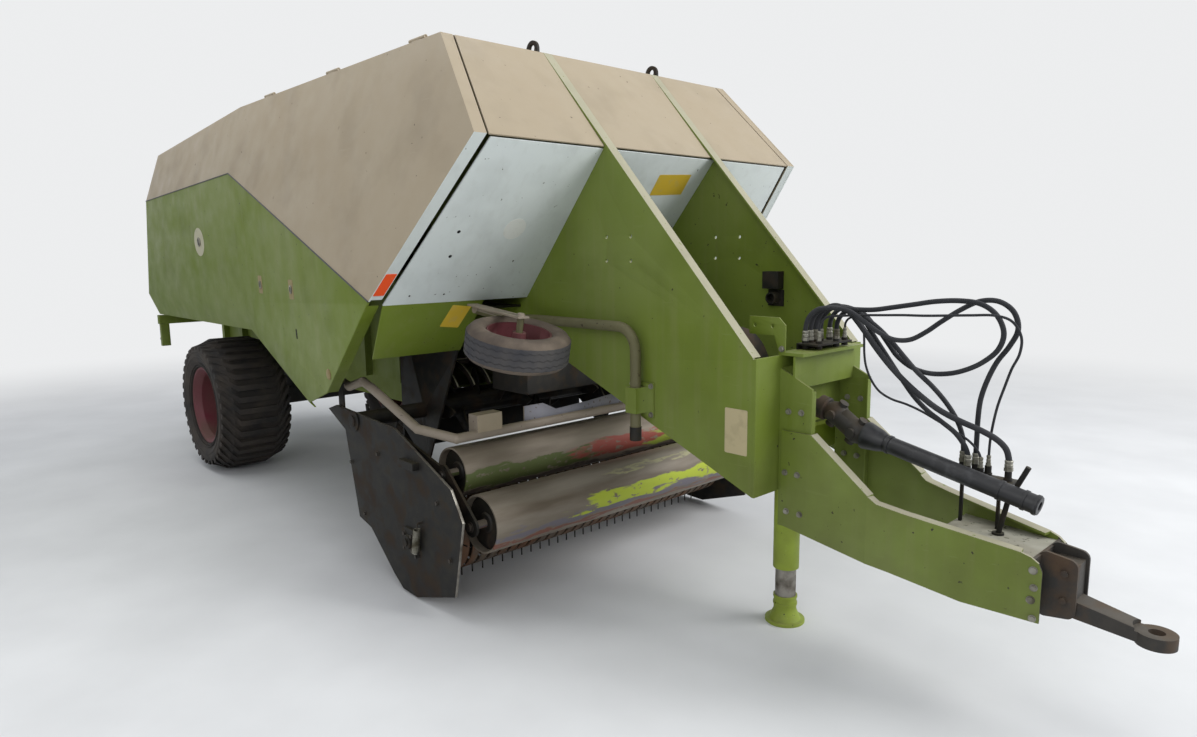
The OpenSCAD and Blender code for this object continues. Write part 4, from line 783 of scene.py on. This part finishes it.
# Parts of a node with a finish of their own: the first test that a face passes holds. A test
# gets the face's middle in millimetres from the nose edge's foot, and its normal n
PART_FINISHES = {
    # The flange along each plate's slope, whose upper faces are drawn pale: a painted highlight
    "frame_plate": [("strip", lambda x, y, z, n: n.z > 0.5 and abs(n.y) < 0.3)],
    # The front edges, in line with the hood's white faces and the green skirts
    "panel_upper": [("white", lambda x, y, z, n: n.x > 0.6 and abs(n.y) < 0.3 and n.z < 0)],
    # The lower panels' front edges wear the lit copy of the body paint: a painted highlight
    "panel_lower": [("lit_green", lambda x, y, z, n: n.x > 0.6 and abs(n.y) < 0.3)],
    "gauge_wheel": [
        ("maroon", lambda x, y, z, n: from_gauge_axis(x, y, z) < GAUGE_RIM_R),
        ("small_tread", lambda x, y, z, n: abs(n.dot(GAUGE_AXIS)) < 0.6),
    ],
    # The cap and the sleeve on the arm's post, and the strap over the wheel
    "gauge_arms": [
        ("iron", lambda x, y, z, n: z < 933 and abs(x - 242) < 32),
        ("green", lambda x, y, z, n: abs(x - 242) < 77 and 974 < z < 1141),
        ("guard", lambda x, y, z, n: z > 1437 and x < -30),
    ],
    # The cover between the side plates, the clevis, and the plates' upper lips, which are drawn
    # pale: a painted highlight
    "drawbar": [
        ("scuffed", lambda x, y, z, n: n.z > 0.9 and abs(z - 650) < 2 and x > 1490),
        ("cast", lambda x, y, z, n: x > 1868 and abs(y) < 142.5),
        ("strip", lambda x, y, z, n: n.z > 0.3 and x > 1035),
    ],
    # The foot, in the lit copy of the body paint: a painted highlight
    "jack_leg": [("lit_green", lambda x, y, z, n: z < 131)],
    # The sheet, the rear brackets and the block on the tube
    "crop_guard": [
        ("sheet", lambda x, y, z, n: (
            abs(x + 477) < 5 and abs(y) < 572 and 844 < z < 946 and abs(n.x) + abs(n.z) > 0.99
        )),
        ("iron", lambda x, y, z, n: x < -1399 and z < 1031 and abs(y) > 1110),
        ("beige", lambda x, y, z, n: abs(y + 820) < 75.5 and z > 874.5 and x > -506),
    ],
    # The edges that the feeder's fingers sweep, drawn pale: a painted highlight along lit edges
    "feeder_housing": [("strip", lambda x, y, z, n: (
        abs(math.hypot(x - FEEDER[0], z - FEEDER[1]) - FINGER_R) < 3
        and abs(n.y) < 0.2 and abs(y) < 624
    ))],
    # The side plates' edges, drawn in pale steel: a painted highlight along lit edges
    "pickup_frame": [("steel", lambda x, y, z, n: abs(n.y) < 0.3 and abs(y) > 1120)],
}

# Corners closer than this are one, flat faces meet below this angle, edges are sharp above it
WELD = 2e-5
FLAT, SHARP = math.radians(0.4), math.radians(32)


class BALER_OT_finishes(bpy.types.Operator):
    """Gives every solid its finish, and shows some by a welded copy with softened edges"""

    bl_idname = "baler.finishes"
    bl_label = "Finishes"

    def execute(self, context):
        finish_of = {n: (f, r) for f, nodes in NODE_FINISHES.items() for n, r in nodes.items()}
        for node, solid in frame["nodes"].items():
            kind = node.removesuffix("_right").removesuffix("_left")
            finish, radius = finish_of[kind]
            solid.data.materials.clear()
            solid.data.materials.append(MATERIALS[finish])
            if radius is not None:
                self.soft_copy(node, solid, finish, radius / 1000, PART_FINISHES.get(kind, []))
        return {"FINISHED"}

    def soft_copy(self, node, solid, finish, radius, parts):
        """A welded copy of a solid with round edges, and the parts that have their own finish."""
        bm = bmesh.new()
        bm.from_mesh(solid.data)
        bmesh.ops.remove_doubles(bm, verts=bm.verts, dist=WELD)
        bmesh.ops.dissolve_limit(bm, angle_limit=FLAT, verts=bm.verts, edges=bm.edges)
        if radius:
            sharp = [
                e for e in bm.edges if len(e.link_faces) == 2 and e.calc_face_angle(0) > SHARP
            ]
            bmesh.ops.bevel(
                bm, geom=sharp, offset=radius, segments=2, profile=0.7, affect="EDGES",
                clamp_overlap=True,
            )
        bm.normal_update()
        for face in bm.faces:
            x, y, z = face.calc_center_median()
            middle = ((x - NOSE_X) * 1000, y * 1000, z * 1000)
            passed = [k for k, (_, test) in enumerate(parts) if test(*middle, face.normal)]
            face.material_index = passed[0] + 1 if passed else 0
        mesh = bpy.data.meshes.new(node + "_soft")
        bm.to_mesh(mesh)
        bm.free()
        for name in (finish, *(part for part, _ in parts)):
            mesh.materials.append(MATERIALS[name])
        piece = add_smooth_piece(node + "_soft", mesh, body_of_node(node))
        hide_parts(node)


# A sidewall rib's outline about its middle radius and height
RIB = ((-4, 0), (-2, 3), (2, 3), (4, 0), (4, -4), (-4, -4))


class BALER_OT_tyre_details(bpy.types.Operator):
    """Adds the tyres' sidewall ribs and the small wheels' zigzag tread"""

    bl_idname = "baler.tyre_details"
    bl_label = "Tyre details"

    def execute(self, context):
        x, z = AXLE
        for side, word in SIDES:
            ribs = Shape()
            hub = beside(side, x, HUB_HALF, z)
            for radius, height in ((322, 252), (338, 258), (398, 270.5), (438, 270.5)):
                ribs.turned(hub, [(radius + r, height + h) for r, h in RIB], 72, True)
            ribs.piece("tyre_ribs_" + word, "tread", word + "_wheel", "tyre")
            self.small_tyre(side, word)
        return {"FINISHED"}

    def small_tyre(self, side, word):
        """Rubber ribs with zigzag edges, which leave the tread's grooves between them."""
        x, y, z = GAUGE_PLACE
        hub = facing(at(x, side * y, z), GAUGE_AXIS, LEFT)
        teeth, zigzag, base, top = 36, 3.5, 238.5, 242.5
        ribs = Shape()
        for low, high in ((-48, -33), (-27, -3), (3, 27), (33, 48)):
            rings = [
                [
                    inside(hub, x, y, h + (zigzag if k % 2 else -zigzag))
                    for k, (x, y) in enumerate(circle(r, 2 * teeth))
                ]
                for r, h in ((base, low), (top, low), (top, high), (base, high))
            ]
            ribs.shell(rings, True)
        ribs.piece("tread_ribs_" + word, "small_tread", word + "_gauge_wheel", "tyre", 50)


class BALER_OT_roller_ends(bpy.types.Operator):
    """Adds the crop rollers' dished end discs and the nuts on their shafts"""

    bl_idname = "baler.roller_ends"
    bl_label = "Roller ends"

    def execute(self, context):
        nuts = Shape()
        for name, (x, z, radius) in (("upper", UPPER_ROLLER), ("lower", LOWER_ROLLER)):
            ends, rim = Shape(), radius - 10.5
            dish = [
                (0, -5), (0, 12), (44, 12), (52, 4), (rim - 14, 9), (rim - 4, 3), (rim, 3),
                (rim, -5),
            ]
            nut = [(0, 0), (27, 0), (27, 3), (19, 4), (19, 16), (0, 18)]
            for side in BOTH:
                ends.turned(beside(side, x, ROLLER_HALF - 40, z), dish, 48)
                nuts.turned(beside(side, x, ROLLER_HALF + 56, z), nut, 24)
            ends.piece(name + "_roller_ends", "iron", name + "_press_roller", "dark_steel")
        nuts.piece("roller_shaft_nuts", "spring", "crop_press", "dark_steel")
        return {"FINISHED"}


def stud(side, x, y, z, way=1):
    """A bolt's place on one side of the machine, and the direction that it looks in."""
    return at(x, side * y, z), (0, side * way, 0)


def cheek_bolts():
    """Bolts of the drawbar head's cheeks, seen from outside and, on the far one, from inside."""
    rows = (
        (243, 1, ((925, 1067), (987, 1070))),
        (255, 1, ((921, 804), (982, 804), (932, 635), (998, 635))),
        (231, -1, ((927, 1067), (993, 1068), (918, 799), (983, 798), (932, 635), (998, 635))),
    )
    return [
        stud(side, x, y, z, way) for y, way, spots in rows for x, z in spots for side in BOTH
    ]


def drawbar_faces(spots):
    """Places on the folded part of both drawbar side plates, and their outward directions."""
    (fold_x, fold_y), (tip_x, tip_y) = (1300, 255), (1910, 145)
    fall = (fold_y - tip_y) / (tip_x - fold_x)
    return [
        (at(x, side * (fold_y - (x - fold_x) * fall), z), (fall, side, 0))
        for x, z in spots for side in BOTH
    ]


class BALER_OT_bolts(bpy.types.Operator):
    """Adds the bolts, nuts and round heads on the drawbar, the arms, the pickup and the rims"""

    bl_idname = "baler.bolts"
    bl_label = "Bolts"

    def execute(self, context):
        sizes = context.scene.baler_sizes
        hexagon = {"Width": sizes.bolt, "Height": 0.6 * sizes.bolt, "Sides": 6}
        button = {"Width": sizes.rivet, "Height": 0.35 * sizes.rivet, "Sides": 14}
        large = {"Width": sizes.wheel_nut, "Height": 0.8 * sizes.wheel_nut, "Sides": 6}
        bolts, rough = bolt_tree("bolt"), bolt_tree("spring")
        sleeve = FRAME_HALF + 8
        places = [(x, sleeve, z) for z in (990, 1125) for x in (182, 302)] + [(884, 243, 1330)]
        chassis = cheek_bolts() + drawbar_faces(((1887, 555), (1889, 441)))
        chassis += [stud(side, *place) for side in BOTH for place in places]
        heads = drawbar_faces(((1882, 618), (1880, 508)))
        grow("drawbar_bolts", bolts, hexagon, chassis, "chassis")
        grow("drawbar_round_heads", bolts, button, heads, "chassis")
        for side, word in SIDES:
            x, y, z = AXLE[0], HUB_HALF - 3, AXLE[1]
            nuts = [stud(side, x + dx, y, z + dz) for dx, dz in circle(130, 8)]
            grow("wheel_nuts_" + word, rough, large, nuts, word + "_wheel")
        spots = []
        for side in BOTH:
            x, y, z = REEL[0], PICKUP_HALF + 12, REEL[1]
            spots += [stud(side, x + dx, y, z + dz) for dx, dz in circle(52, 8)[1::2]]
            for x, z in ((-1310, 600), (-1180, 330), (-1000, 700), (-430, 560), (-330, 300)):
                spots.append(stud(side, x, PICKUP_HALF, z))
        grow("pickup_bolts", rough, hexagon, spots, "pickup")
        return {"FINISHED"}


class BALER_OT_stickers(bpy.types.Operator):
    """Adds the blank stickers, the reflectors and the small holes in the white faces"""

    bl_idname = "baler.stickers"
    bl_label = "Stickers and reflectors"

    def execute(self, context):
        skin = context.scene.baler_sizes.sticker * 1000
        # Name, finish, place, outline and turn in degrees
        for name, finish, place, outline, turn in (
            ("plate", "tan_film", beside(-1, 783.5, FRAME_HALF, 986.5), rounded(117, 195, 6), 0),
            ("hood", "yellow_film", self.on_white(180, 2090), rounded(240, 131, 6), 4),
            ("skirt", "yellow_film", self.on_white(-831, 1422), rounded(118, 150, 6), -9),
            ("round", "white_film", self.on_white(-717, 1855), circle(62, 36), 0),
        ):
            place = place @ Matrix.Rotation(math.radians(turn), 4, "Z")
            sticker = Shape().slab(place, outline, skin, 1.0)
            sticker.piece(name + "_sticker", finish, "chassis", "white_paint")
        # The small holes are flat black discs: painted shadow inside the holes
        holes = Shape()
        for y, z, radius in ((-1026, 1840, 9), (-1017, 1729, 9), (-960, 1545, 5), (-1150, 1545, 5)):
            hole = [(0, -1), (radius, -1), (radius, 0.6), (0, 0.6)]
            holes.turned(self.on_white(y, z), hole, 20)
        holes.piece("face_holes", "dark", "chassis", "white_paint")
        for side, word in SIDES:
            # The reflector leans as the panel's front edge does
            lean = -side * 199 / 927
            outline = [(x + lean * y, y) for x, y in rounded(54, 130, 3)]
            place = facing(at(-WHITE_RUN * 630 - 1, side * 1301.5, NOSE_Z - 630), WHITE_SLOPE)
            strip = Shape().slab(place, outline, 2.5, 1.0)
            strip.piece("strip_reflector_" + word, "orange", word + "_side_panel", "shell_paint")
        return {"FINISHED"}

    def on_white(self, y, z):
        """A place on the plane of the hood's lower faces and the skirts, facing outwards."""
        return facing(at(-WHITE_RUN * (NOSE_Z - z), y, z), WHITE_SLOPE)


class BALER_OT_panel_fittings(bpy.types.Operator):
    """Adds the side panels' latches with their blank plates, their seams, and the rear lamps"""

    bl_idname = "baler.panel_fittings"
    bl_label = "Side panel fittings and lamps"

    def execute(self, context):
        for side, word in SIDES:
            self.latches(side, word)
            self.seam(word)
        self.lamps()
        return {"FINISHED"}

    def surface(self, word, side, x, z):
        """The outside of a lower side panel at x and z, as a place that faces outwards."""
        mesh = frame["nodes"]["panel_lower_" + word].data
        faces = [p.vertices for p in mesh.polygons]
        tree = BVHTree.FromPolygons([v.co for v in mesh.vertices], faces)
        point, normal, _, _ = tree.ray_cast(at(x, side * 2000, z), Vector((0, -side, 0)))
        if point is None:
            raise RuntimeError("no side panel lies at %d, %d" % (x, z))
        return facing(point, normal)

    def latches(self, side, word):
        ring, plates, locks, holes = Shape(), Shape(), Shape(), Shape()
        disc = self.surface(word, side, -3647, 1841)
        ring.turned(disc, [(0, -1), (104, -1), (104, 1.2), (0, 1.2)], 40)
        locks.turned(disc, [(0, 1), (34, 1), (34, 5), (26, 8), (0, 8)], 28)
        # The keyholes and the slot below the plates are black slabs: painted shadow inside them
        holes.slab(disc, rounded(16, 44, 7), 8.8)
        for x, z in ((-2395, 1557), (-1759, 1546)):
            place = self.surface(word, side, x, z)
            plates.slab(place, rounded(84, 112, 8), 1.2, 1)
            locks.turned(place, [(0, 1), (24, 1), (24, 5), (17, 7), (0, 7)], 24)
            holes.slab(place, rounded(9, 30, 4), 7.8)
        holes.slab(self.surface(word, side, -1750, 1290), rounded(22, 60, 10), 1.0, 1)
        plug = self.surface(word, side, -1265, 1110)
        plates.turned(plug, [(0, -1), (30, -1), (30, 3), (24, 7), (0, 8)], 28)
        for shape, name, finish in (
            (ring, "disc", "cream_film"), (plates, "plates", "latch_film"),
            (locks, "locks", "bolt"), (holes, "keyholes", "dark"),
        ):
            shape.piece("panel_%s_%s" % (name, word), finish, word + "_side_panel", "green_paint")

    def seam(self, word):
        """The dark seal on the corners that a panel's beige and green sheets share."""
        upper, lower = (
            [v.co for v in frame["nodes"]["panel_%s_%s" % (half, word)].data.vertices]
            for half in ("upper", "lower")
        )
        touching = 0.0006
        corners = {}
        for spot in upper:
            if any((spot - other).length < touching for other in lower):
                key = round(spot.x, 2)
                if key not in corners or abs(spot.y) > abs(corners[key].y):
                    corners[key] = spot.copy()
        if len(corners) != 3:
            raise RuntimeError("the sheets of a side panel share %d corners, not 3" % len(corners))
        seal = Shape().rod([corners[key] for key in sorted(corners)], 4)
        seal.piece("panel_seam_" + word, "plastic", word + "_side_panel", "green_paint")

    def lamps(self):
        red, orange, housings = Shape(), Shape(), Shape()
        for side in BOTH:
            for lens, z, r in ((red, 1130, 30), (orange, 1062, 27), (red, 992, 32)):
                place = facing(at(-5225, side * 1015, z), -AHEAD)
                housings.turned(place, [(0, -1), (r + 3, -1), (r + 3, 12), (0, 12)])
                lens.turned(place, [(0, 11), (r, 11), (r, 20), (r - 6, 25), (r / 2, 28), (0, 29)])
        housings.piece("lamp_housings", "plastic", "chassis", "green_paint")
        red.piece("red_lenses", "red", "chassis", "green_paint")
        orange.piece("orange_lenses", "orange", "chassis", "green_paint")


class BALER_OT_pickup_fittings(bpy.types.Operator):
    """Adds the tines' coils, the pickup's springs, the reel's bearings and the height stops"""

    bl_idname = "baler.pickup_fittings"
    bl_label = "Pickup fittings"

    def execute(self, context):
        sizes = context.scene.baler_sizes
        tines, reel_half = 32, PICKUP_HALF - 60
        pitch = 2 * reel_half / tines
        # Four bars carry the tines
        spots = [
            (at(REEL[0] + dx, (i + 0.5) * pitch - reel_half - 10, REEL[1] + dz), LEFT)
            for dx, dz in ((0, 110), (110, 0), (0, -110), (-110, 0)) for i in range(tines)
        ]
        coil = {"Radius": 0.0172, "Wire": sizes.tine_wire / 2, "Turns": 2.5, "Length": 0.02}
        grow("tine_coils", coil_tree("spring"), coil, spots, "reel")
        # A lift spring runs up the outside of each side plate, between two hooks
        low, high = Vector((-622, 240)), Vector((-585, 425))
        run = (high - low).normalized()
        foot, head = low + run * 28, high - run * 30
        y = PICKUP_HALF + 24
        seeds = [(at(foot.x, side * y, foot.y), (run.x, 0, run.y)) for side in BOTH]
        coil = {"Radius": 0.016, "Wire": sizes.spring_wire / 2, "Turns": 18.0, "Length": 0.13}
        grow("lift_springs", coil_tree("bolt"), coil, seeds, "pickup")
        hooks = Shape()
        for side in BOTH:
            for end, inner in ((low, foot), (high, head)):
                eye = at(end.x, side * y, end.y)
                hooks.rod([at(end.x, side * (PICKUP_HALF - 2), end.y), eye], 6)
                hooks.rod([eye, at(inner.x, side * y, inner.y)], 3)
        hooks.piece("spring_hooks", "spring", "pickup", "dark_steel")
        self.side_blocks()
        return {"FINISHED"}

    def side_blocks(self):
        """The reel's bearings, the height stops and the caps on the feeder's axis."""
        blocks = Shape()
        hub = [(0, 11), (38, 11), (34, 26), (20, 28), (20, 36), (0, 36)]
        cap = [(0, -1), (56, -1), (56, 5), (30, 8), (30, 16), (0, 16)]
        for side in BOTH:
            bearing = beside(side, REEL[0], PICKUP_HALF, REEL[1])
            blocks.slab(bearing, rounded(140, 140, 40), 12, 1).turned(bearing, hub)
            blocks.slab(beside(side, -662, PICKUP_HALF, 710), rounded(145, 40, 6), 34, 1)
            blocks.turned(beside(side, FEEDER[0], PICKUP_HALF + 3, FEEDER[1]), cap, 36)
        blocks.piece("pickup_side_blocks", "iron", "pickup", "dark_steel")


class BALER_OT_drive_fittings(bpy.types.Operator):
    """Adds the universal joint's forks and caps, the guard's collars and the head's rings"""

    bl_idname = "baler.drive_fittings"
    bl_label = "Drive shaft fittings"

    def execute(self, context):
        back, joint, elbow = at(919, 0, 1060), at(1010, 0, 1035), at(1105, 0, 971)
        run = (elbow - joint).normalized()
        forks = Shape()
        fork = [(0, -44), (34, -44), (50, -18), (50, 18), (34, 44), (0, 44)]
        pin = [(0, -63), (21, -63), (21, 63), (0, 63)]
        for middle in (joint, elbow):
            forks.turned(facing(middle, run, LEFT), fork, 24)
            for axis in (LEFT, run.cross(LEFT)):
                forks.turned(facing(middle, axis, run), pin, 20)
        collar = [(0, 8), (52, 8), (52, 44), (44, 50), (0, 50)]
        forks.turned(facing(back, joint - back, LEFT), collar, 28)
        forks.piece("joint_forks", "cast", "chassis", "dark_steel")
        start, end = at(1205, 0, 948.9), at(1843, 0, 808)
        base = facing(start, end - start, LEFT)
        length = (end - start).length * 1000
        cone = [(35, -60), (58, -60), (60, -52), (47, 10), (37.5, 34), (35, 34)]
        guard = Shape().turned(base, cone, 32, True)
        for z in (46, length - 150, length - 60, length - 18):
            band = [(35, z), (39.5, z + 1), (39.5, z + 12), (35, z + 13)]
            guard.turned(base, band, 32, True)
        guard.piece("guard_collars", "plastic", "chassis", "black_cover")
        rings = Shape()
        for y in (150, 196):
            rings.turned(facing(at(893, y, 1293), (1, 0, 0.1)), circle(2.6, 8, 22), 28, True)
        rings.piece("head_rings", "bolt", "chassis", "dark_steel")
        return {"FINISHED"}


# The backdrop's colour and strength, where 1 is white
BACKDROP, BACKDROP_STRENGTH = "#F2F3F4", 0.95
# The floor fades into the backdrop between these distances from the machine's middle, in metres
FADE_FROM, FADE_TO = 4.6, 11.5


class BALER_OT_stage(bpy.types.Operator):
    """Adds the floor and the lamps"""

    bl_idname = "baler.stage"
    bl_label = "Floor and light"

    def execute(self, context):
        self.floor()
        self.backdrop(context.scene)
        # Name, place, power in watts and size; the large key lamp stands ahead on the left
        for name, place, power, size in (
            ("key", (9.5, 5.0, 7.0), 940, 6.0),
            ("fill", (5.0, -6.5, 4.5), 120, 5.0),
            ("top", (-1.5, -1.0, 7.5), 260, 6.0),
        ):
            light = bpy.data.lights.new(name, "AREA")
            light.energy = power
            light.size = size
            lamp = bpy.data.objects.new(name, light)
            lamp.location = place
            aim = Vector((-0.5, 0, 1.2)) - Vector(place)
            lamp.rotation_euler = aim.to_track_quat("-Z", "Y").to_euler()
            context.collection.objects.link(lamp)
        context.scene.view_settings.view_transform = "Standard"
        return {"FINISHED"}

    def floor(self):
        """Pale concrete, cloudy and matt, that fades into the backdrop so that no horizon shows."""
        mesh = bpy.data.meshes.new("floor")
        bm = bmesh.new()
        bmesh.ops.create_grid(bm, x_segments=2, y_segments=2, size=60)
        bm.to_mesh(mesh)
        bm.free()
        floor = bpy.data.objects.new("floor", mesh)
        bpy.context.collection.objects.link(floor)
        concrete = Finish("Pale concrete floor", "#D5D6D7", {"Roughness": 0.85})
        concrete.cover("#DFE0E1", 1.0, concrete.patches(700, 0.3, 0.7))
        mesh.materials.append(concrete.finished(None))
        out = concrete.add("VectorMath", {0: concrete.place}, "Value", operation="LENGTH")
        far = concrete.add(
            "MapRange", {"Value": out, "From Min": FADE_FROM, "From Max": FADE_TO},
            interpolation_type="SMOOTHSTEP",
        )
        seen = concrete.add("LightPath", result="Is Camera Ray")
        fade = concrete.add("Math", {0: far, 1: seen}, operation="MULTIPLY")
        glow = concrete.add(
            "Emission", {"Color": linear(BACKDROP), "Strength": BACKDROP_STRENGTH}
        )
        blend = concrete.add(
            "MixShader", {0: fade, 1: concrete.surface.outputs[0], 2: glow}
        )
        concrete.tree.links.new(blend, concrete.output.inputs["Surface"])

    def backdrop(self, scene):
        """A pale backdrop for the camera and in reflections, and a soft light on the machine."""
        scene.world = bpy.data.worlds.new("studio")
        scene.world.use_nodes = True
        tree = scene.world.node_tree
        tree.nodes.clear()
        path = add_node(tree, "ShaderNodeLightPath").node.outputs
        seen = add_node(
            tree, "ShaderNodeMath", {0: path["Is Camera Ray"], 1: path["Is Glossy Ray"]},
            operation="MAXIMUM",
        )
        soft, plain = (
            add_node(tree, "ShaderNodeBackground", {"Color": linear(colour), "Strength": strength})
            for colour, strength in (("#E8ECF2", 0.55), (BACKDROP, BACKDROP_STRENGTH))
        )
        mixed = add_node(tree, "ShaderNodeMixShader", {0: seen, 1: soft, 2: plain})
        add_node(tree, "ShaderNodeOutputWorld", {"Surface": mixed})


class BALER_PT_panel(bpy.types.Panel):
    """Lists the baler's colours and sizes, and the steps that dress it"""

    bl_label = "Square baler"
    bl_idname = "BALER_PT_panel"
    bl_space_type = "VIEW_3D"
    bl_region_type = "UI"
    bl_category = "Baler"

    def draw(self, context):
        for group in (context.scene.baler_paints, context.scene.baler_sizes):
            for name in group.bl_rna.properties.keys():
                if name not in ("rna_type", "name"):
                    self.layout.prop(group, name)
        for step in STEPS:
            self.layout.operator(step.bl_idname)


STEPS = [
    BALER_OT_camera, BALER_OT_hoses, BALER_OT_finishes, BALER_OT_tyre_details,
    BALER_OT_roller_ends, BALER_OT_bolts, BALER_OT_stickers, BALER_OT_panel_fittings,
    BALER_OT_pickup_fittings, BALER_OT_drive_fittings, BALER_OT_stage,
]
CLASSES = [BALER_PG_paints, BALER_PG_sizes, *STEPS, BALER_PT_panel]


def register():
    for cls in CLASSES:
        bpy.utils.register_class(cls)
    bpy.types.Scene.baler_paints = bpy.props.PointerProperty(type=BALER_PG_paints)
    bpy.types.Scene.baler_sizes = bpy.props.PointerProperty(type=BALER_PG_sizes)


def unregister():
    del bpy.types.Scene.baler_sizes
    del bpy.types.Scene.baler_paints
    for cls in reversed(CLASSES):
        bpy.utils.unregister_class(cls)


def main():
    register()
    MATERIALS.update(build_materials(bpy.context.scene.baler_paints))
    for step in STEPS:
        group, name = step.bl_idname.split(".")
        getattr(getattr(bpy.ops, group), name)()
    bpy.context.view_layer.update()


if __name__ == "__main__":
    main()
